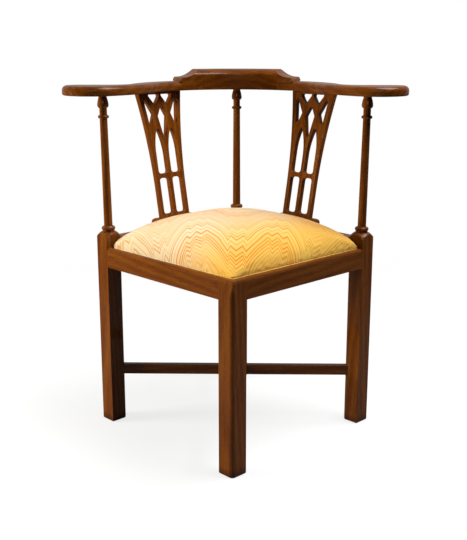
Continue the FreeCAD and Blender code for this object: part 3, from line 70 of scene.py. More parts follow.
def mixed(tree, share, first, second, blend="MIX"):
    """Two colours mixed by a share."""
    made = tree.nodes.new("ShaderNodeMix")
    made.data_type = "RGBA"
    made.blend_type = blend
    for socket, term in ((made.inputs[0], share), (made.inputs[6], first), (made.inputs[7], second)):
        if isinstance(term, bpy.types.NodeSocket):
            tree.links.new(term, socket)
        else:
            socket.default_value = term
    return made.outputs[2]


def ramp(tree, share, stops, interpolation="LINEAR"):
    """Colours along a ramp, each given as a place from 0 to 1 and a colour."""
    made = tree.nodes.new("ShaderNodeValToRGB")
    made.color_ramp.interpolation = interpolation
    while len(made.color_ramp.elements) < len(stops):
        made.color_ramp.elements.new(0.5)
    for element, (place, colour) in zip(made.color_ramp.elements, stops):
        element.position = place
        element.color = (*colour, 1.0)
    tree.links.new(share, made.inputs[0])
    return made.outputs[0]


def new_material(name):
    material = bpy.data.materials.new(name)
    material.use_nodes = True
    tree = material.node_tree
    tree.nodes.clear()
    return material, tree


def finished(material, tree, shader):
    output = tree.nodes.new("ShaderNodeOutputMaterial")
    tree.links.new(shader.outputs[0], output.inputs[0])
    return material


def mahogany(name, grain, seed, tone=1.0, feet=False):
    """Stained mahogany. Grain turns local Z to the length of the board, in degrees."""
    material, tree = new_material(name)
    place = add(tree, "ShaderNodeTexCoord").outputs["Object"]
    turn = [math.radians(angle) for angle in grain]
    board = add(tree, "ShaderNodeMapping", {"vector_type": "TEXTURE"}, Vector=place,
                Location=(0.37 * seed, 0.11 * seed, 0.53 * seed), Rotation=turn,
                Scale=(1.0, 1.0, 14.0)).outputs[0]
    rings = add(tree, "ShaderNodeTexWave", {"bands_direction": "DIAGONAL"}, Vector=board, Scale=34.0,
                Distortion=4.0, Detail=3.0, Detail_Scale=1.6).outputs["Fac"]
    drift = add(tree, "ShaderNodeTexNoise", Vector=board, Scale=40.0, Detail=5.0,
                Roughness=0.62).outputs["Fac"]
    streaks = add(tree, "ShaderNodeTexNoise", Vector=board, Scale=330.0, Detail=3.0,
                  Roughness=0.7).outputs["Fac"]
    pores = add(tree, "ShaderNodeTexNoise", Vector=board, Scale=1500.0, Detail=1.0).outputs["Fac"]
    share = figure(tree, "MULTIPLY_ADD", rings, 0.16, figure(tree, "MULTIPLY", drift, 0.48))
    share = figure(tree, "MULTIPLY_ADD", streaks, 0.50, share)
    stain = ramp(tree, share, [
        (0.32, (0.085, 0.019, 0.0014)), (0.50, (0.135, 0.033, 0.0022)),
        (0.64, (0.175, 0.048, 0.0036)), (0.84, (0.220, 0.070, 0.0060))])
    pits = add(tree, "ShaderNodeMapRange", Value=pores, From_Min=0.30, From_Max=0.46, To_Min=0.62,
               To_Max=1.0).outputs[0]
    level = figure(tree, "MULTIPLY", pits, tone)
    # Darker towards the bottom of each leg, over the last few centimetres above the floor.
    if feet:
        height = add(tree, "ShaderNodeSeparateXYZ", Vector=place).outputs["Z"]
        height_with_drift = figure(tree, "MULTIPLY_ADD", drift, 0.012, height)
        darker_near_floor = add(tree, "ShaderNodeMapRange", Value=height_with_drift, From_Min=0.008, From_Max=0.026,
                    To_Min=0.38, To_Max=1.0).outputs[0]
        level = figure(tree, "MULTIPLY", level, darker_near_floor)
    shade = add(tree, "ShaderNodeCombineColor", Red=level, Green=level, Blue=level).outputs[0]
    stain = mixed(tree, 1.0, stain, shade, "MULTIPLY")
    # Lighter colour along the arrises: partly stain rubbed off the edges, partly a painted highlight
    # where the edges catch the light.
    rounded_over = add(tree, "ShaderNodeBevel", {"samples": 6}, Radius=0.0016).outputs[0]
    facing = add(tree, "ShaderNodeNewGeometry").outputs["Normal"]
    turned_away = add(tree, "ShaderNodeVectorMath", {"operation": "DOT_PRODUCT"})
    tree.links.new(rounded_over, turned_away.inputs[0])
    tree.links.new(facing, turned_away.inputs[1])
    arris_wear_and_highlight = add(tree, "ShaderNodeMapRange", Value=turned_away.outputs["Value"], From_Min=0.995,
                From_Max=0.90, To_Min=0.0, To_Max=0.55).outputs[0]
    rubbed_and_highlit = figure(tree, "MULTIPLY", arris_wear_and_highlight, figure(tree, "MULTIPLY", streaks, 1.2))
    stain = mixed(tree, rubbed_and_highlit, stain, (0.32, 0.14, 0.035, 1.0))
    gloss = add(tree, "ShaderNodeMapRange", Value=drift, From_Min=0.3, From_Max=0.7, To_Min=0.20,
                To_Max=0.30).outputs[0]
    relief = add(tree, "ShaderNodeBump", Strength=0.05, Distance=0.0003, Height=pores).outputs[0]
    surface = add(tree, "ShaderNodeBsdfPrincipled", Base_Color=stain, Roughness=gloss, Normal=relief,
                  Specular_IOR_Level=0.10, Coat_Weight=0.16, Coat_Roughness=0.07, Coat_IOR=1.45)
    return finished(material, tree, surface)


def stand(name, data):
    """Object of the given mesh, lamp or camera, put into the scene."""
    made = bpy.data.objects.new(name, data)
    bpy.context.scene.collection.objects.link(made)
    return made


def dress(node, material):
    """Give a piece its finish, in every slot that it has."""
    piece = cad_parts[node]
    if not piece.material_slots:
        piece.data.materials.append(material)
    for slot in piece.material_slots:
        slot.material = material
    return piece


for seed, side in enumerate(("front", "left", "right", "back"), 1):
    dress(f"{side}_leg", mahogany(f"leg_wood_{side}", (0, 0, 12 * seed), seed, 1.0, feet=True))

# The rails that join the legs: boards with their grain along the seat, moulded at the front and
# plain at the rear, tenoned and glued into the legs.
RAIL_GRAIN = {
    "front_left_rail": (90, 0, 45), "front_right_rail": (90, 0, -45),
    "rear_left_rail": (90, 0, -45), "rear_right_rail": (90, 0, 45),
}
for seed, (node, grain) in enumerate(RAIL_GRAIN.items(), 11):
    dress(node, mahogany(f"{node}_wood", grain, seed, 1.04))

# The two stretchers, halved into each other under the middle of the seat.
dress("side_stretcher", mahogany("side_stretcher_wood", (0, 90, 0), 21, 0.98))
dress("front_back_stretcher", mahogany("front_back_stretcher_wood", (90, 0, 0), 22, 0.98))


# Corner blocks of plain beech, glued and screwed into the angles of the rails out of sight.
def plain_wood(name, grain, seed):
    """Bare pale wood, sawn and lightly planed."""
    material, tree = new_material(name)
    place = add(tree, "ShaderNodeTexCoord").outputs["Object"]
    turn = [math.radians(angle) for angle in grain]
    board = add(tree, "ShaderNodeMapping", {"vector_type": "TEXTURE"}, Vector=place,
                Location=(0.29 * seed, 0.17 * seed, 0.41 * seed), Rotation=turn,
                Scale=(1.0, 1.0, 16.0)).outputs[0]
    growth = add(tree, "ShaderNodeTexWave", {"bands_direction": "X"}, Vector=board, Scale=26.0,
                 Distortion=6.0, Detail=2.0, Detail_Scale=1.2).outputs["Fac"]
    fibres = add(tree, "ShaderNodeTexNoise", Vector=board, Scale=420.0, Detail=3.0).outputs["Fac"]
    share = figure(tree, "MULTIPLY_ADD", growth, 0.5, figure(tree, "MULTIPLY", fibres, 0.5))
    colour = ramp(tree, share, [(0.2, (0.47, 0.29, 0.145)), (0.55, (0.60, 0.40, 0.21)),
                                (0.85, (0.68, 0.48, 0.27))])
    relief = add(tree, "ShaderNodeBump", Strength=0.3, Distance=0.0004, Height=fibres).outputs[0]
    surface = add(tree, "ShaderNodeBsdfPrincipled", Base_Color=colour, Roughness=0.72, Normal=relief,
                  Specular_IOR_Level=0.3)
    return finished(material, tree, surface)


BLOCK_GRAIN = {"front": (0, 90, 0), "left": (90, 0, 0), "right": (90, 0, 0), "back": (0, 90, 0)}
for seed, (side, grain) in enumerate(BLOCK_GRAIN.items(), 31):
    dress(f"{side}_corner_block", plain_wood(f"{side}_block_wood", grain, seed))


# Steel wood screws with slotted, countersunk heads: two in each corner block, and two up through
# each arm into the crest rail. One screw is drawn and set at each of their places.
def steel(name, colour, roughness):
    material, tree = new_material(name)
    place = add(tree, "ShaderNodeTexCoord").outputs["Object"]
    blotches = add(tree, "ShaderNodeTexNoise", Vector=place, Scale=420.0, Detail=4.0).outputs["Fac"]
    tint = ramp(tree, blotches, [(0.35, [0.55 * part for part in colour]), (0.65, colour)])
    dull = add(tree, "ShaderNodeMapRange", Value=blotches, From_Min=0.3, From_Max=0.7,
               To_Min=roughness + 0.2, To_Max=roughness).outputs[0]
    surface = add(tree, "ShaderNodeBsdfPrincipled", Base_Color=tint, Roughness=dull, Metallic=0.9)
    return finished(material, tree, surface)


def new_tree(name, inputs):
    """Geometry tree with named lengths as its inputs. Returns it with its two end nodes."""
    tree = bpy.data.node_groups.new(name, "GeometryNodeTree")
    tree.interface.new_socket("Geometry", in_out="INPUT", socket_type="NodeSocketGeometry")
    for label in inputs:
        tree.interface.new_socket(label, in_out="INPUT", socket_type="NodeSocketFloat")
    tree.interface.new_socket("Geometry", in_out="OUTPUT", socket_type="NodeSocketGeometry")
    return tree, tree.nodes.new("NodeGroupInput"), tree.nodes.new("NodeGroupOutput")


def ended(tree, outlet, geometry, material):
    """End a tree with real geometry that carries its material."""
    real = add(tree, "GeometryNodeRealizeInstances", Geometry=geometry).outputs[0]
    painted = add(tree, "GeometryNodeSetMaterial", Geometry=real, Material=material).outputs[0]
    tree.links.new(painted, outlet.inputs[0])


def grown(name, mesh, tree, values, body, slot, *nodes):
    """Object made by a tree from a base mesh, as a plain mesh that rides on a body."""
    piece = stand(name, mesh)
    modifier = piece.modifiers.new("Tree", "NODES")
    modifier.node_group = tree
    for item in tree.interface.items_tree:
        if item.in_out == "INPUT" and item.name in values:
            modifier[item.identifier] = values[item.name]
    bpy.context.view_layer.update()
    evaluated = piece.evaluated_get(bpy.context.evaluated_depsgraph_get())
    plain = bpy.data.meshes.new_from_object(evaluated)
    piece.modifiers.remove(modifier)
    piece.data = plain
    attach(piece, body)
    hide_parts(*nodes)
    return piece


def places(name, spots):
    """Points with a turn each, given as (place, turn) with the turn as XYZ angles."""
    mesh = bpy.data.meshes.new(name)
    mesh.from_pydata([spot for spot, turn in spots], [], [])
    turns = mesh.attributes.new("turn", "FLOAT_VECTOR", "POINT")
    turns.data.foreach_set("vector", [angle for spot, turn in spots for angle in turn])
    return mesh


def set_on_points(tree, inlet, shape):
    """One copy of a shape on every point of the base mesh, turned as the point says."""
    turn = add(tree, "GeometryNodeInputNamedAttribute", {"data_type": "FLOAT_VECTOR"}, Name="turn")
    points = add(tree, "GeometryNodeMeshToPoints", Mesh=inlet.outputs["Geometry"]).outputs[0]
    return add(tree, "GeometryNodeInstanceOnPoints", Points=points, Instance=shape,
               Rotation=turn.outputs[0]).outputs[0]


def moved(tree, geometry, z):
    """Geometry moved along Z by a number or socket."""
    lift = add(tree, "ShaderNodeCombineXYZ", Z=z).outputs[0]
    return add(tree, "GeometryNodeTransform", Geometry=geometry, Translation=lift).outputs[0]


def screw_tree(name, material):
    tree, inlet, outlet = new_tree(name, ("Head Radius", "Head Height", "Shank Radius", "Length"))
    wide, head_height = inlet.outputs["Head Radius"], inlet.outputs["Head Height"]
    shank, length = inlet.outputs["Shank Radius"], inlet.outputs["Length"]
    head = add(tree, "GeometryNodeMeshCone", Vertices=28, Radius_Top=shank, Radius_Bottom=wide,
               Depth=head_height).outputs[0]
    slot_wide = figure(tree, "MULTIPLY", wide, 0.26)
    slot_deep = figure(tree, "MULTIPLY", head_height, 0.8)
    slot_long = figure(tree, "MULTIPLY", wide, 2.4)
    size = add(tree, "ShaderNodeCombineXYZ", X=slot_long, Y=slot_wide, Z=slot_deep).outputs[0]
    cutter = add(tree, "GeometryNodeMeshCube", Size=size).outputs[0]
    slotted = add(tree, "GeometryNodeMeshBoolean", {"operation": "DIFFERENCE"}, Mesh_1=head)
    tree.links.new(cutter, slotted.inputs[1])
    straight = figure(tree, "SUBTRACT", length, head_height)
    stem = add(tree, "GeometryNodeMeshCone", Vertices=14, Radius_Top=0.0004, Radius_Bottom=shank,
               Depth=straight).outputs[0]
    stem = moved(tree, stem, head_height)
    turns = figure(tree, "DIVIDE", straight, 0.0018)
    path = add(tree, "GeometryNodeCurveSpiral", Resolution=10, Rotations=turns, Start_Radius=shank,
               End_Radius=0.0006, Height=straight).outputs[0]
    path = moved(tree, path, head_height)
    ridge = add(tree, "GeometryNodeCurvePrimitiveCircle", Resolution=3, Radius=0.0004).outputs[0]
    thread = add(tree, "GeometryNodeCurveToMesh", Curve=path, Profile_Curve=ridge).outputs[0]
    joined = tree.nodes.new("GeometryNodeJoinGeometry")
    for part in (slotted.outputs[0], stem, thread):
        tree.links.new(part, joined.inputs[0])
    ended(tree, outlet, set_on_points(tree, inlet, joined.outputs[0]), material)
    return tree


def turned_point(x, y, z, degrees):
    return Matrix.Rotation(math.radians(degrees), 4, "Z") @ Vector((x, y, z))


QUARTER = math.pi / 2
screw_steel = steel("screw_steel", (0.46, 0.43, 0.38), 0.34)
screws = screw_tree("slotted_screw", screw_steel)
screw_sizes = {"Head Radius": 0.0042, "Head Height": 0.0026, "Shank Radius": 0.0022}
block_mid, block_edge = 0.3725, 0.1554
block_spots = []
for degrees, to_x, to_y in ((-135, 0.170, 0.170), (135, 0.160, 0.170), (-45, 0.170, 0.160),
                            (45, 0.160, 0.160)):
    angle = math.radians(degrees)
    block_spots.append((turned_point(block_edge, to_y, block_mid, degrees), (-QUARTER, 0, angle)))
    block_spots.append((turned_point(to_x, block_edge, block_mid, degrees), (0, QUARTER, angle)))
grown("corner_screws", places("corner_screw_places", block_spots), screws,
      screw_sizes | {"Length": 0.030}, "chair", "screw_steel", "corner_block_screws")

arm_centre, arm_radius, arm_underside = 0.06452, 0.208, 0.7204
angle = math.radians(35.5)
crest_spots = []
for side in (-1, 1):
    for offset in (-0.012, 0.012):
        reach = arm_radius + offset
        spot = (side * reach * math.sin(angle), arm_centre + reach * math.cos(angle),
                arm_underside + 0.005)
        crest_spots.append((spot, (0, 0, side * 0.7 + offset * 40)))
grown("crest_rail_screws", places("crest_screw_places", crest_spots), screws,
      screw_sizes | {"Length": 0.026}, "chair", "screw_steel", "crest_screws")

# The three columns, turned from straight-grained mahogany with a pin at each end.
for seed, side in enumerate(("left", "right", "back"), 41):
    dress(f"{side}_column", mahogany(f"{side}_column_wood", (0, 0, 30 * seed), seed, 1.0))

# Shoes and splats. Each splat is a thin board, pierced with a fret saw and let into its shoe and
# its arm, with the grain up the rake.
for seed, (side, degrees) in enumerate((("left", 45), ("right", -45)), 51):
    dress(f"{side}_shoe", mahogany(f"{side}_shoe_wood", (90, 0, -degrees), seed, 0.98))
    dress(f"{side}_splat", mahogany(f"{side}_splat_wood", (-10.6, 0, degrees), seed + 4, 1.06))

# Arms and crest rail: thick boards sawn to the curve, so that the grain runs straight through the
# bend. The crest rail's cap laps over both arms.
dress("left_arm", mahogany("left_arm_wood", (0, 90, 38), 61, 0.9))
dress("right_arm", mahogany("right_arm_wood", (0, 90, -38), 62, 0.9))
dress("crest_rail", mahogany("crest_wood", (0, 90, 0), 63, 0.84))

# The frame of the drop-in seat: four plain boards halved together at the corners.
for node, grain, seed in (("seat_front_left_member", (90, 0, 45), 71),
                          ("seat_front_right_member", (90, 0, -45), 72),
                          ("seat_rear_left_member", (90, 0, -45), 73),
                          ("seat_rear_right_member", (90, 0, 45), 74)):
    dress(node, plain_wood(f"{node}_wood", grain, seed))


# Jute webbing: three straps each way, woven over and under each other and tacked to the frame.
def woven(name, ground, stripe, pitch, stripe_at=None, roughness=0.9):
    """Plain weave in the plane of the seat, with an optional pair of coloured lines."""
    material, tree = new_material(name)
    place = add(tree, "ShaderNodeTexCoord").outputs["Object"]
    square = add(tree, "ShaderNodeMapping", Vector=place,
                 Rotation=(0, 0, math.radians(-45))).outputs[0]
    waves = [add(tree, "ShaderNodeTexWave", {"bands_direction": way}, Vector=square,
                 Scale=0.314 / pitch, Distortion=0.4).outputs["Fac"] for way in ("X", "Y")]
    threads = figure(tree, "MULTIPLY", waves[0], waves[1])
    slubs = add(tree, "ShaderNodeTexNoise", Vector=square, Scale=90.0, Detail=4.0).outputs["Fac"]
    share = figure(tree, "MULTIPLY_ADD", threads, 0.5, figure(tree, "MULTIPLY", slubs, 0.6))
    colour = ramp(tree, share, [(0.1, [0.45 * part for part in ground]), (0.6, ground)])
    if stripe_at:
        lanes = add(tree, "ShaderNodeAttribute", {"attribute_name": "across"}).outputs["Fac"]
        beside = figure(tree, "ABSOLUTE", figure(tree, "SUBTRACT", lanes, stripe_at))
        line = add(tree, "ShaderNodeMapRange", Value=beside, From_Min=0.0012, From_Max=0.0018,
                   To_Min=0.85, To_Max=0.0).outputs[0]
        colour = mixed(tree, line, colour, (*stripe, 1.0))
    relief = add(tree, "ShaderNodeBump", Strength=0.6, Distance=0.0004, Height=threads).outputs[0]
    surface = add(tree, "ShaderNodeBsdfPrincipled", Base_Color=colour, Roughness=roughness,
                  Normal=relief, Specular_IOR_Level=0.15)
    return finished(material, tree, surface)


def strap_tree(material):
    """Three straps side by side, each rising and falling over the straps that cross it."""
    tree, inlet, outlet = new_tree("straps", ("Length", "Width", "Thickness", "Pitch", "Phase"))
    length, width, thick = (inlet.outputs[name] for name in ("Length", "Width", "Thickness"))
    pitch, phase = inlet.outputs["Pitch"], inlet.outputs["Phase"]
    strip = add(tree, "GeometryNodeMeshGrid", Size_X=length, Size_Y=width, Vertices_X=81,
                Vertices_Y=9)
    place = tree.nodes.new("GeometryNodeInputPosition").outputs[0]
    parts = add(tree, "ShaderNodeSeparateXYZ", Vector=place)
    across = figure(tree, "ABSOLUTE", parts.outputs["Y"])
    named = add(tree, "GeometryNodeStoreNamedAttribute", {"data_type": "FLOAT"},
                Geometry=strip.outputs[0], Name="across", Value=across).outputs[0]
    start = add(tree, "ShaderNodeCombineXYZ", Y=figure(tree, "MULTIPLY", pitch, -1.0)).outputs[0]
    step = add(tree, "ShaderNodeCombineXYZ", Y=pitch).outputs[0]
    row = add(tree, "GeometryNodeMeshLine", Count=3, Start_Location=start, Offset=step).outputs[0]
    rows = add(tree, "GeometryNodeInstanceOnPoints", Points=row, Instance=named).outputs[0]
    rows = add(tree, "GeometryNodeRealizeInstances", Geometry=rows).outputs[0]
    lane = figure(tree, "ROUND", figure(tree, "DIVIDE", parts.outputs["Y"], pitch))
    cell = figure(tree, "ADD", figure(tree, "DIVIDE", parts.outputs["X"], pitch), lane)
    wave = figure(tree, "COSINE", figure(tree, "MULTIPLY", figure(tree, "ADD", cell, phase), math.pi))
    near_end = add(tree, "ShaderNodeMapRange", Value=figure(tree, "ABSOLUTE", parts.outputs["X"]),
                   From_Min=0.115, From_Max=0.140, To_Min=1.0, To_Max=0.0).outputs[0]
    rise = figure(tree, "MULTIPLY", figure(tree, "MULTIPLY", wave, near_end),
                  figure(tree, "MULTIPLY", thick, 0.55))
    lifted = add(tree, "GeometryNodeSetPosition", Geometry=rows,
                 Offset=add(tree, "ShaderNodeCombineXYZ", Z=rise).outputs[0]).outputs[0]
    upper = add(tree, "GeometryNodeExtrudeMesh", Mesh=lifted, Offset_Scale=thick, Individual=False)
    lower = add(tree, "GeometryNodeFlipFaces", Mesh=lifted).outputs[0]
    joined = tree.nodes.new("GeometryNodeJoinGeometry")
    tree.links.new(upper.outputs[0], joined.inputs[0])
    tree.links.new(lower, joined.inputs[0])
    closed = add(tree, "GeometryNodeMergeByDistance", Geometry=joined.outputs[0],
                 Distance=0.00005).outputs[0]
    ended(tree, outlet, closed, material)
    return tree


jute = woven("jute_webbing", (0.42, 0.30, 0.17), (0.25, 0.05, 0.03), 0.0022, stripe_at=0.0165)
straps = strap_tree(jute)
seat_middle = -0.007
strap_sizes = {"Length": 0.3452, "Width": 0.045, "Thickness": 0.0009, "Pitch": 0.085}
for name, degrees, floor, phase in (("straps_one_way", 45, 0.3984, 0.0),
                                    ("straps_other_way", 135, 0.3993, 1.0)):
    layer = grown(name, bpy.data.meshes.new(name), straps, strap_sizes | {"Phase": phase}, "seat",
                  "webbing", "seat_webbing")
    middle = turned_point(seat_middle, seat_middle, floor, 45)
    layer.data.transform(Matrix.Translation(middle) @ Matrix.Rotation(math.radians(degrees), 4, "Z"))


# Blued tacks with low domed heads: three at each end of a strap, and five along each side of the
# bottom cloth. One tack is drawn and set at each place.
def tack_tree(material):
    tree, inlet, outlet = new_tree("tack", ("Head Radius", "Head Height", "Pin Radius", "Length"))
    wide, tall = inlet.outputs["Head Radius"], inlet.outputs["Head Height"]
    dome = add(tree, "GeometryNodeMeshUVSphere", Segments=10, Rings=6, Radius=wide).outputs[0]
    flat = add(tree, "ShaderNodeCombineXYZ", X=1.0, Y=1.0,
               Z=figure(tree, "DIVIDE", tall, wide)).outputs[0]
    dome = add(tree, "GeometryNodeTransform", Geometry=dome, Scale=flat).outputs[0]
    pin = add(tree, "GeometryNodeMeshCone", Vertices=6, Radius_Top=inlet.outputs["Pin Radius"],
              Radius_Bottom=0.0002, Depth=inlet.outputs["Length"]).outputs[0]
    pin = moved(tree, pin, figure(tree, "MULTIPLY", inlet.outputs["Length"], -1.0))
    joined = tree.nodes.new("GeometryNodeJoinGeometry")
    tree.links.new(dome, joined.inputs[0])
    tree.links.new(pin, joined.inputs[0])
    ended(tree, outlet, set_on_points(tree, inlet, joined.outputs[0]), material)
    return tree


blued_steel = steel("blued_tack_steel", (0.10, 0.11, 0.14), 0.30)
tacks = tack_tree(blued_steel)
tack_sizes = {"Head Radius": 0.0030, "Head Height": 0.0008, "Pin Radius": 0.0009, "Length": 0.0098}
strap_pitch, tack_pitch, strap_end = 0.085, 0.01575, 0.1626
web_spots = []
for lane in (-strap_pitch, 0.0, strap_pitch):
    for beside in (-tack_pitch, 0.0, tack_pitch):
        for end in (-strap_end, strap_end):
            across = seat_middle + lane + beside
            web_spots.append((turned_point(seat_middle + end, across, 0.3993, 45), (0, 0, 0)))
            web_spots.append((turned_point(across, seat_middle + end, 0.4003, 45), (0, 0, 0)))
grown("strap_tacks", places("strap_tack_places", web_spots), tacks, tack_sizes, "seat",
      "tack_steel", "webbing_tacks")


# The cushion: curled-hair stuffing under a printed cotton in flame stitch, pulled over the seat
# frame so that it crowns in the middle. It is swelled as cloth under pressure, then tucked in.
ARCH_WIDTH, ARCH_RISE, ROW_REPEAT = 0.165, 0.095, 0.220


def flame_stitch():
    """Zigzag lines of thin ochre and orange on cream, which rise and fall in broad arches."""
    material, tree = new_material("flame_stitch_cotton")
    place = add(tree, "ShaderNodeTexCoord").outputs["Object"]
    spread = add(tree, "ShaderNodeAttribute", {"attribute_name": "cloth"}).outputs["Vector"]
    parts = add(tree, "ShaderNodeSeparateXYZ", Vector=spread)
    sway = add(tree, "ShaderNodeTexNoise", Vector=spread, Scale=9.0, Detail=2.0)
    shake = add(tree, "ShaderNodeTexNoise", Vector=spread, Scale=420.0, Detail=1.0)
    drift = add(tree, "ShaderNodeSeparateXYZ", Vector=sway.outputs["Color"])
    jitter = add(tree, "ShaderNodeSeparateXYZ", Vector=shake.outputs["Color"])
    across = figure(tree, "MULTIPLY_ADD", drift.outputs["X"], 0.010, parts.outputs["X"])
    along = figure(tree, "MULTIPLY_ADD", drift.outputs["Y"], 0.014, parts.outputs["Y"])
    along = figure(tree, "MULTIPLY_ADD", jitter.outputs["X"], 0.0012, along)
    arch = figure(tree, "DIVIDE", figure(tree, "SUBTRACT", across, 0.011), ARCH_WIDTH)
    arch = figure(tree, "FRACT", arch)
    zigzag = tree.nodes.new("ShaderNodeFloatCurve")
    outline = [(0, 0), (14, 18), (21, 0), (42, 44), (63, 84), (71, 74), (83, 95), (94, 79), (104, 92),
               (113, 75), (131, 42), (148, 0), (153, 18)]
    set_curve(zigzag, [(x / 165, y / 95) for x, y in outline] + [(1, 0)])
    tree.links.new(arch, zigzag.inputs["Value"])
    lift = figure(tree, "MULTIPLY", zigzag.outputs[0], ARCH_RISE)
    level = figure(tree, "SUBTRACT", figure(tree, "SUBTRACT", along, lift), -0.210)
    turn = figure(tree, "FRACT", figure(tree, "DIVIDE", level, ROW_REPEAT))
    lines = tree.nodes.new("ShaderNodeFloatCurve")
    rows = [(20, 0.75, 2.6), (39, 1.0, 3.4), (51, 0.9, 2.6), (64, 0.5, 2.2), (83, 0.9, 2.4),
            (92, 0.85, 2.4), (102, 0.85, 2.4), (116, 0.5, 2.2), (128, 0.6, 2.2), (138, 0.4, 2.2),
            (148, 0.6, 2.2), (157, 0.6, 2.4), (167, 0.85, 2.6),
            (178, 0.9, 2.6), (188, 1.0, 2.8), (200, 1.0, 2.8)]
    profile = [(0, 1.0), (2.4, 1.0), (3.6, 0)]
    for middle, strength, half in rows:
        profile += [(middle - half, 0), (middle - half * 0.7, strength),
                    (middle + half * 0.7, strength), (middle + half, 0)]
    profile += [(216.4, 0), (217.6, 1.0), (220, 1.0)]
    set_curve(lines, [(x / 220, y) for x, y in profile])
    tree.links.new(turn, lines.inputs["Value"])
    yarn = ramp(tree, turn, [
        (0.0, (0.80, 0.24, 0.040)), (0.06, (0.76, 0.34, 0.080)), (0.16, (0.70, 0.34, 0.055)),
        (0.26, (0.74, 0.37, 0.080)), (0.42, (0.72, 0.38, 0.090)), (0.56, (0.80, 0.36, 0.080)),
        (0.72, (0.72, 0.35, 0.060)), (0.82, (0.80, 0.28, 0.045)), (0.92, (0.70, 0.34, 0.055)),
        (1.0, (0.80, 0.24, 0.040))])
    ground = ramp(tree, turn, [
        (0.0, (0.90, 0.71, 0.39)), (0.10, (0.93, 0.77, 0.47)), (0.30, (0.90, 0.74, 0.42)),
        (0.46, (0.92, 0.75, 0.46)), (0.56, (0.93, 0.69, 0.39)), (0.66, (0.93, 0.68, 0.38)),
        (0.72, (0.93, 0.76, 0.46)), (0.88, (0.92, 0.68, 0.36)), (1.0, (0.90, 0.71, 0.39))])
    threads = [add(tree, "ShaderNodeTexWave", {"bands_direction": way}, Vector=spread,
                   Scale=0.314 / 0.0011, Distortion=0.6).outputs["Fac"] for way in ("X", "Y")]
    weave = figure(tree, "MULTIPLY", threads[0], threads[1])
    wear = figure(tree, "MULTIPLY_ADD", sway.outputs["Fac"], 0.4, 0.72)
    strength = figure(tree, "MULTIPLY", lines.outputs[0], wear)
    colour = mixed(tree, strength, ground, yarn)
    # Painted light: the cotton is paler and greyer towards the left and a deeper orange towards the
    # front right, for how the light falls across the seat.
    side = add(tree, "ShaderNodeSeparateXYZ", Vector=place)
    to_right = figure(tree, "SUBTRACT", side.outputs["X"], side.outputs["Y"])
    lit_side_share = add(tree, "ShaderNodeMapRange", {"interpolation_type": "SMOOTHSTEP"}, Value=to_right,
                  From_Min=0.0, From_Max=0.28, To_Min=0.0, To_Max=1.0).outputs[0]
    tint = mixed(tree, lit_side_share, (0.88, 0.82, 0.84, 1.0), (1.0, 0.76, 0.22, 1.0))
    colour = mixed(tree, 1.0, colour, tint, "MULTIPLY")
    shadow = add(tree, "ShaderNodeMapRange", Value=weave, From_Min=0.0, From_Max=0.5, To_Min=0.86,
                 To_Max=1.0).outputs[0]
    shade = add(tree, "ShaderNodeCombineColor", Red=shadow, Green=shadow, Blue=shadow).outputs[0]
    colour = mixed(tree, 1.0, colour, shade, "MULTIPLY")
    relief = add(tree, "ShaderNodeBump", Strength=0.35, Distance=0.0003, Height=weave).outputs[0]
    surface = add(tree, "ShaderNodeBsdfPrincipled", Base_Color=colour, Roughness=0.82, Normal=relief,
                  Specular_IOR_Level=0.2, Sheen_Weight=0.15, Sheen_Roughness=0.4)
    return finished(material, tree, surface)


def set_curve(node, points):
    """Straight-sided curve through the points, which run from 0 to 1."""
    curve = node.mapping.curves[0]
    while len(curve.points) < len(points):
        curve.points.new(0.5, 0.5)
    for point, (x, y) in zip(curve.points, points):
        point.location = (x, y)
        point.handle_type = "VECTOR"
    node.mapping.use_clip = False
    node.mapping.update()


def plain_mesh(piece):
    """Mesh of an object with its modifiers applied and removed."""
    bpy.context.view_layer.update()
    evaluated = piece.evaluated_get(bpy.context.evaluated_depsgraph_get())
    mesh = bpy.data.meshes.new_from_object(evaluated)
    piece.modifiers.clear()
    piece.data = mesh
    return mesh


def points_of(mesh):
    values = np.empty(len(mesh.vertices) * 3)
    mesh.vertices.foreach_get("co", values)
    return values.reshape(-1, 3)


def set_points(mesh, points):
    mesh.vertices.foreach_set("co", points.ravel())
    mesh.update()


def along_seat(points):
    """The same points in the square of the seat, with x and y along its sides."""
    half = math.sqrt(0.5)
    turned = points.copy()
    turned[:, 0] = (points[:, 0] + points[:, 1]) * half
    turned[:, 1] = (points[:, 1] - points[:, 0]) * half
    return turned


def back_from_seat(points):
    half = math.sqrt(0.5)
    turned = points.copy()
    turned[:, 0] = (points[:, 0] - points[:, 1]) * half
    turned[:, 1] = (points[:, 0] + points[:, 1]) * half
    return turned


SEAT_LOW, SEAT_HIGH, NOTCH = -0.2008, 0.1868, 0.1722
pad_floor, crown_top = 0.4011, 0.4725
copied = bmesh.new()
copied.from_mesh(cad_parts["seat_pad"].data)
bmesh.ops.remove_doubles(copied, verts=copied.verts, dist=0.00002)
bmesh.ops.recalc_face_normals(copied, faces=copied.faces)
cushion_mesh = bpy.data.meshes.new("seat_cushion")
copied.to_mesh(cushion_mesh)
copied.free()
cushion = stand("seat_cushion", cushion_mesh)
remesh = cushion.modifiers.new("Remesh", "REMESH")
remesh.mode = "VOXEL"
remesh.voxel_size = 0.005
plain_mesh(cushion)
rest = points_of(cushion.data)
held = cushion.vertex_groups.new(name="held")
low = [int(index) for index in np.nonzero(rest[:, 2] < pad_floor + 0.003)[0]]
held.add(low, 1.0, "REPLACE")
cloth = cushion.modifiers.new("Cloth", "CLOTH")
cloth.settings.use_pressure = True
cloth.settings.uniform_pressure_force = 4.0
cloth.settings.effector_weights.gravity = 0.0
cloth.settings.vertex_group_mass = "held"
cloth.settings.tension_stiffness = 25.0
cloth.settings.compression_stiffness = 25.0
cloth.settings.bending_stiffness = 1.0
for number in range(1, 21):
    bpy.context.scene.frame_set(number)
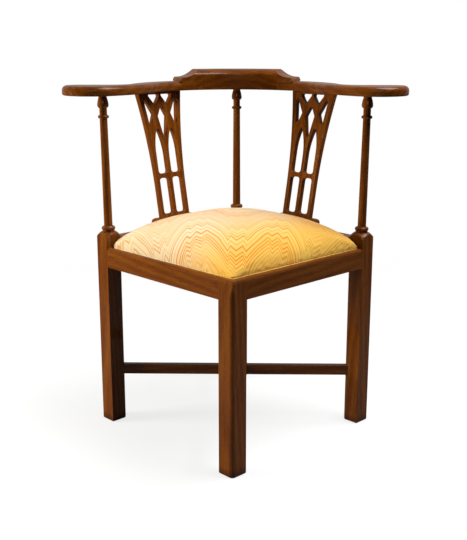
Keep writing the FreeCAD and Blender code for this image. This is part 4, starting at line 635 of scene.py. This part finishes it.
plain_mesh(cushion)
swelled = points_of(cushion.data)
travel = swelled - rest
reach = np.linalg.norm(travel, axis=1, keepdims=True)
travel *= np.minimum(1.0, 0.006 / np.maximum(reach, 1e-9))
set_points(cushion.data, rest + travel)
bpy.context.scene.frame_set(1)
smooth = cushion.modifiers.new("Subdivision", "SUBSURF")
smooth.levels = smooth.render_levels = 1
plain_mesh(cushion)

# Height of the crown, then the tuck: small gathers where the cotton is pulled down between the
#  tacks, and room for the rails and legs round it.
shape = along_seat(points_of(cushion.data))
top = shape[:, 2].max()
above = np.clip(shape[:, 2] - pad_floor, 0, None)
shape[:, 2] = np.where(shape[:, 2] > pad_floor, pad_floor + above * (crown_top - pad_floor) /
                       (top - pad_floor), shape[:, 2])
middle = (SEAT_LOW + SEAT_HIGH) / 2
half_side = (SEAT_HIGH - SEAT_LOW) / 2
side_rise, foot_rise, wide_gather, narrow_gather = 0.020, 0.0045, 0.031, 0.0197
for axis, other in ((0, 1), (1, 0)):
    offset = shape[:, axis] - middle
    edge = np.clip(np.abs(offset) / half_side, 0, 1)
    height = np.clip((shape[:, 2] - pad_floor) / side_rise, 0, 1)
    place = shape[:, other]
    gathers = np.sin(place * math.tau / wide_gather)
    gathers += 0.6 * np.sin(place * math.tau / narrow_gather + 1.3)
    waist = np.cos(np.clip((place - middle) / half_side, -1, 1) * math.pi / 2)
    low_down = height * (1 - height) * 4
    tuck = 0.0018 * waist * height + 0.0006 * low_down * (1.6 + gathers) - 0.0014
    shape[:, axis] -= np.sign(offset) * edge ** 6 * tuck
    shape[:, 2] += edge ** 8 * low_down * 0.0007 * gathers
for axis, other in ((0, 1), (1, 0)):
    offset = shape[:, axis] - middle
    foot = (np.abs(offset) > half_side - 0.0065) & (shape[:, 2] < pad_floor + foot_rise)
    foot &= np.abs(shape[:, other] - middle) < half_side - 0.004
    low_share = np.clip(1 - (shape[:, 2] - pad_floor) / foot_rise, 0, 1)
    full = half_side - 0.0010 - 0.0008 * (1 - low_share)
    shape[:, axis] = np.where(foot, middle + np.sign(offset) * full, shape[:, axis])
room = 0.0006
shape[:, 0] = np.clip(shape[:, 0], SEAT_LOW + room, SEAT_HIGH - room)
shape[:, 1] = np.clip(shape[:, 1], SEAT_LOW + room, SEAT_HIGH - room)
for sign_x, sign_y in ((1, 1), (-1, 1), (1, -1)):
    over_x = sign_x * shape[:, 0] - (NOTCH - room)
    over_y = sign_y * shape[:, 1] - (NOTCH - room)
    inside = (over_x > 0) & (over_y > 0)
    by_x = inside & (over_x <= over_y)
    by_y = inside & (over_x > over_y)
    shape[by_x, 0] -= sign_x * over_x[by_x]
    shape[by_y, 1] -= sign_y * over_y[by_y]
shape[:, 2] = np.clip(shape[:, 2], pad_floor, None)
set_points(cushion.data, back_from_seat(shape))

# The skirt of the same cotton, which goes down round the outside of the seat frame.
corner_bend = 0.005


def seat_outline(inset):
    """Plan of the seat inside its clearance: a round front corner and three square notches."""
    low, high, notch = SEAT_LOW + inset, SEAT_HIGH - inset, NOTCH - inset
    bend = corner_bend - inset / 2
    outline = []
    for number in range(9):
        angle = math.pi + number * QUARTER / 8
        outline.append((low + bend + bend * math.cos(angle), low + bend + bend * math.sin(angle)))
    outline += [(notch, low), (notch, -notch), (high, -notch), (high, notch), (notch, notch),
                (notch, high), (-notch, high), (-notch, notch), (low, notch)]
    return outline


skirt = bmesh.new()
rings = []
for inset, height in ((0.0012, 0.3856), (0.0012, 0.4018), (0.0020, 0.4018), (0.0020, 0.3856)):
    rings.append([skirt.verts.new(Matrix.Rotation(math.radians(45), 3, "Z") @ Vector((x, y, height)))
                  for x, y in seat_outline(inset)])
for ring, following in zip(rings, rings[1:] + rings[:1]):
    for index in range(len(ring)):
        after = (index + 1) % len(ring)
        skirt.faces.new((ring[index], ring[after], following[after], following[index]))
bmesh.ops.recalc_face_normals(skirt, faces=skirt.faces)
skirt.from_mesh(cushion.data)
skirt.to_mesh(cushion.data)
skirt.free()
ends = points_of(cushion.data)
flat_reach = np.hypot(ends[:, 0], ends[:, 1])
drop = crown_top - ends[:, 2]
stretch = np.sqrt(flat_reach ** 2 + 4 / 3 * drop ** 2) / np.maximum(flat_reach, 0.001)
laid = cushion.data.attributes.new("cloth", "FLOAT_VECTOR", "POINT")
flat = np.column_stack((ends[:, 0] * stretch, ends[:, 1] * stretch, np.zeros(len(ends))))
flat[flat_reach < 0.004] = (0, 0, 0)
laid.data.foreach_set("vector", flat.ravel())
cushion.data.materials.clear()
cushion.data.materials.append(flame_stitch())
cushion.data.polygons.foreach_set("use_smooth", [True] * len(cushion.data.polygons))
cushion.data.polygons.foreach_set("material_index", [0] * len(cushion.data.polygons))
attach(cushion, "seat")
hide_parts("seat_cover", "seat_pad")

# The bottom cloth: black cambric tacked under the seat frame to keep the dust in, with its corners
# cut off. It hangs a little in the middle and puckers between the tacks.
cloth_low, cloth_high, cloth_cut, cloth_top = -0.186, 0.176, 0.045, 0.3852
outline = []
corners = [(cloth_low + cloth_cut, cloth_low), (cloth_high - cloth_cut, cloth_low),
           (cloth_high, cloth_low + cloth_cut), (cloth_high, cloth_high - cloth_cut),
           (cloth_high - cloth_cut, cloth_high), (cloth_low + cloth_cut, cloth_high),
           (cloth_low, cloth_high - cloth_cut), (cloth_low, cloth_low + cloth_cut)]
for start, end in zip(corners, corners[1:] + corners[:1]):
    for step in range(20):
        share = step / 20
        outline.append([first + (last - first) * share for first, last in zip(start, end)])
cloth_middle = (cloth_low + cloth_high) / 2
cloth_sag = 0.0035
sheet = bmesh.new()
rings = []
for step in range(1, 25):
    share = step / 24
    ring = []
    for x, y in outline:
        at_x = cloth_middle + (x - cloth_middle) * share
        at_y = cloth_middle + (y - cloth_middle) * share
        wave = (math.cos((at_x - cloth_middle) * math.tau / 0.05) *
                math.cos((at_y - cloth_middle) * math.tau / 0.05))
        sag = cloth_sag * (1 - share ** 2)
        pucker = 0.0004 * (1 - wave) * share ** 6 * (1 - share)
        height = cloth_top - sag - pucker
        ring.append(sheet.verts.new(turned_point(at_x, at_y, height, 45)))
    rings.append(ring)
centre = sheet.verts.new(turned_point(cloth_middle, cloth_middle, cloth_top - cloth_sag, 45))
for index in range(len(outline)):
    sheet.faces.new((centre, rings[0][index], rings[0][(index + 1) % len(outline)]))
for ring, following in zip(rings, rings[1:]):
    for index in range(len(ring)):
        after = (index + 1) % len(ring)
        sheet.faces.new((ring[index], following[index], following[after], ring[after]))
cambric_mesh = bpy.data.meshes.new("cambric_bottom")
bmesh.ops.recalc_face_normals(sheet, faces=sheet.faces)
sheet.to_mesh(cambric_mesh)
sheet.free()
cambric = stand("cambric_bottom", cambric_mesh)
cambric.data.materials.append(woven("black_cambric", (0.022, 0.021, 0.022), (0, 0, 0), 0.0012))
cambric.data.polygons.foreach_set("use_smooth", [True] * len(cambric.data.polygons))
thickness = cambric.modifiers.new("Thickness", "SOLIDIFY")
thickness.thickness = 0.0006
thickness.offset = 0.0
plain_mesh(cambric)
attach(cambric, "seat")
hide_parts("seat_bottom_cloth")

cloth_spots = []
for step in (-2, -1, 0, 1, 2):
    along = cloth_middle + 0.05 * step
    for edge in (cloth_low + 0.008, cloth_high - 0.008):
        cloth_spots.append((turned_point(along, edge, 0.3845, 45), (math.pi, 0, 0)))
        cloth_spots.append((turned_point(edge, along, 0.3845, 45), (math.pi, 0, 0)))
grown("cambric_tacks", places("cambric_tack_places", cloth_spots), tacks, tack_sizes, "seat",
      "tack_steel", "bottom_cloth_tacks")


# The stage: a pale floor and backdrop, a large soft lamp low on the left, one above the right, a
# weak one in front that shows only in the polish, and the camera at the photograph's angle.
floor_mesh = bpy.data.meshes.new("floor")
floor_mesh.from_pydata([(-6, -6, 0), (6, -6, 0), (6, 6, 0), (-6, 6, 0)], [], [(0, 1, 2, 3)])
floor = stand("floor", floor_mesh)
pale, tree = new_material("pale_floor")
rays = add(tree, "ShaderNodeLightPath")
from_middle = add(tree, "ShaderNodeVectorMath", {"operation": "LENGTH"})
tree.links.new(add(tree, "ShaderNodeTexCoord").outputs["Object"], from_middle.inputs[0])
far = add(tree, "ShaderNodeMapRange", {"interpolation_type": "SMOOTHSTEP"},
          Value=from_middle.outputs["Value"], From_Min=0.55, From_Max=1.9, To_Min=0.0,
          To_Max=1.0).outputs[0]
grey = figure(tree, "MULTIPLY_ADD", far, -0.20, 0.20)
shade = add(tree, "ShaderNodeCombineColor", Red=grey, Green=grey, Blue=grey).outputs[0]
soft = add(tree, "ShaderNodeBsdfDiffuse", Color=shade)
seen = figure(tree, "MAXIMUM", rays.outputs["Is Camera Ray"], rays.outputs["Is Transmission Ray"])
seen = figure(tree, "MAXIMUM", seen, figure(tree, "MULTIPLY", rays.outputs["Is Glossy Ray"], 0.15))
level = figure(tree, "MULTIPLY", seen, figure(tree, "MULTIPLY_ADD", far, 0.21, 0.79))
glow = add(tree, "ShaderNodeEmission", Color=(1.0, 1.0, 1.0, 1.0), Strength=level)
both = add(tree, "ShaderNodeAddShader")
tree.links.new(soft.outputs[0], both.inputs[0])
tree.links.new(glow.outputs[0], both.inputs[1])
floor.data.materials.append(finished(pale, tree, both))

world = bpy.data.worlds.new("studio")
bpy.context.scene.world = world
world.use_nodes = True
tree = world.node_tree
tree.nodes.clear()
rays = add(tree, "ShaderNodeLightPath")
way = add(tree, "ShaderNodeTexCoord").outputs["Generated"]
parts = add(tree, "ShaderNodeSeparateXYZ", Vector=way)
behind = add(tree, "ShaderNodeMapRange", Value=parts.outputs["Y"], From_Min=-0.2, From_Max=0.6,
             To_Min=0.04, To_Max=0.40).outputs[0]
strength = figure(tree, "MAXIMUM", behind, rays.outputs["Is Camera Ray"])
strength = figure(tree, "MAXIMUM", strength, rays.outputs["Is Transmission Ray"])
sky = add(tree, "ShaderNodeBackground", Color=(1.0, 1.0, 1.0, 1.0), Strength=strength)
output = tree.nodes.new("ShaderNodeOutputWorld")
tree.links.new(sky.outputs[0], output.inputs[0])


def lamp(name, place, aim, size, power, colour=(1.0, 1.0, 1.0)):
    data = bpy.data.lights.new(name, "AREA")
    data.shape = "RECTANGLE"
    data.size, data.size_y = size
    data.energy = power
    data.color = colour
    made = stand(name, data)
    made.location = place
    made.rotation_euler = (Vector(aim) - Vector(place)).to_track_quat("-Z", "Y").to_euler()
    return made


left_softbox = lamp("left_softbox", (-2.5, -0.3, 0.7), (0, 0, 0.45), (0.9, 0.9), 92,
                    (1.0, 0.98, 0.92))
left_softbox.visible_glossy = False
lamp("top_softbox", (0.95, -0.1, 2.5), (0, 0, 0.4), (1.4, 1.4), 78)
front_softbox = lamp("front_softbox", (-0.05, -2.4, 1.45), (0, 0, 0.7), (1.6, 0.5), 9)
front_softbox.visible_diffuse = False

eye = bpy.data.cameras.new("camera")
eye.sensor_width = 36.0
eye.lens = 60.856
eye.clip_start, eye.clip_end = 0.05, 50.0
camera = stand("camera", eye)
right = Vector((0.99984775, 0.01744838, 0.00020128))
up = Vector((-0.00447125, 0.24503298, 0.96950443))
back = Vector((0.01686696, -0.96935772, 0.24507369))
camera.matrix_world = Matrix.Translation((0.03078, -1.92733, 0.83439)) @ Matrix(
    (right, up, back)).transposed().to_4x4()
bpy.context.scene.camera = camera
bpy.context.scene.view_settings.view_transform = "Standard"
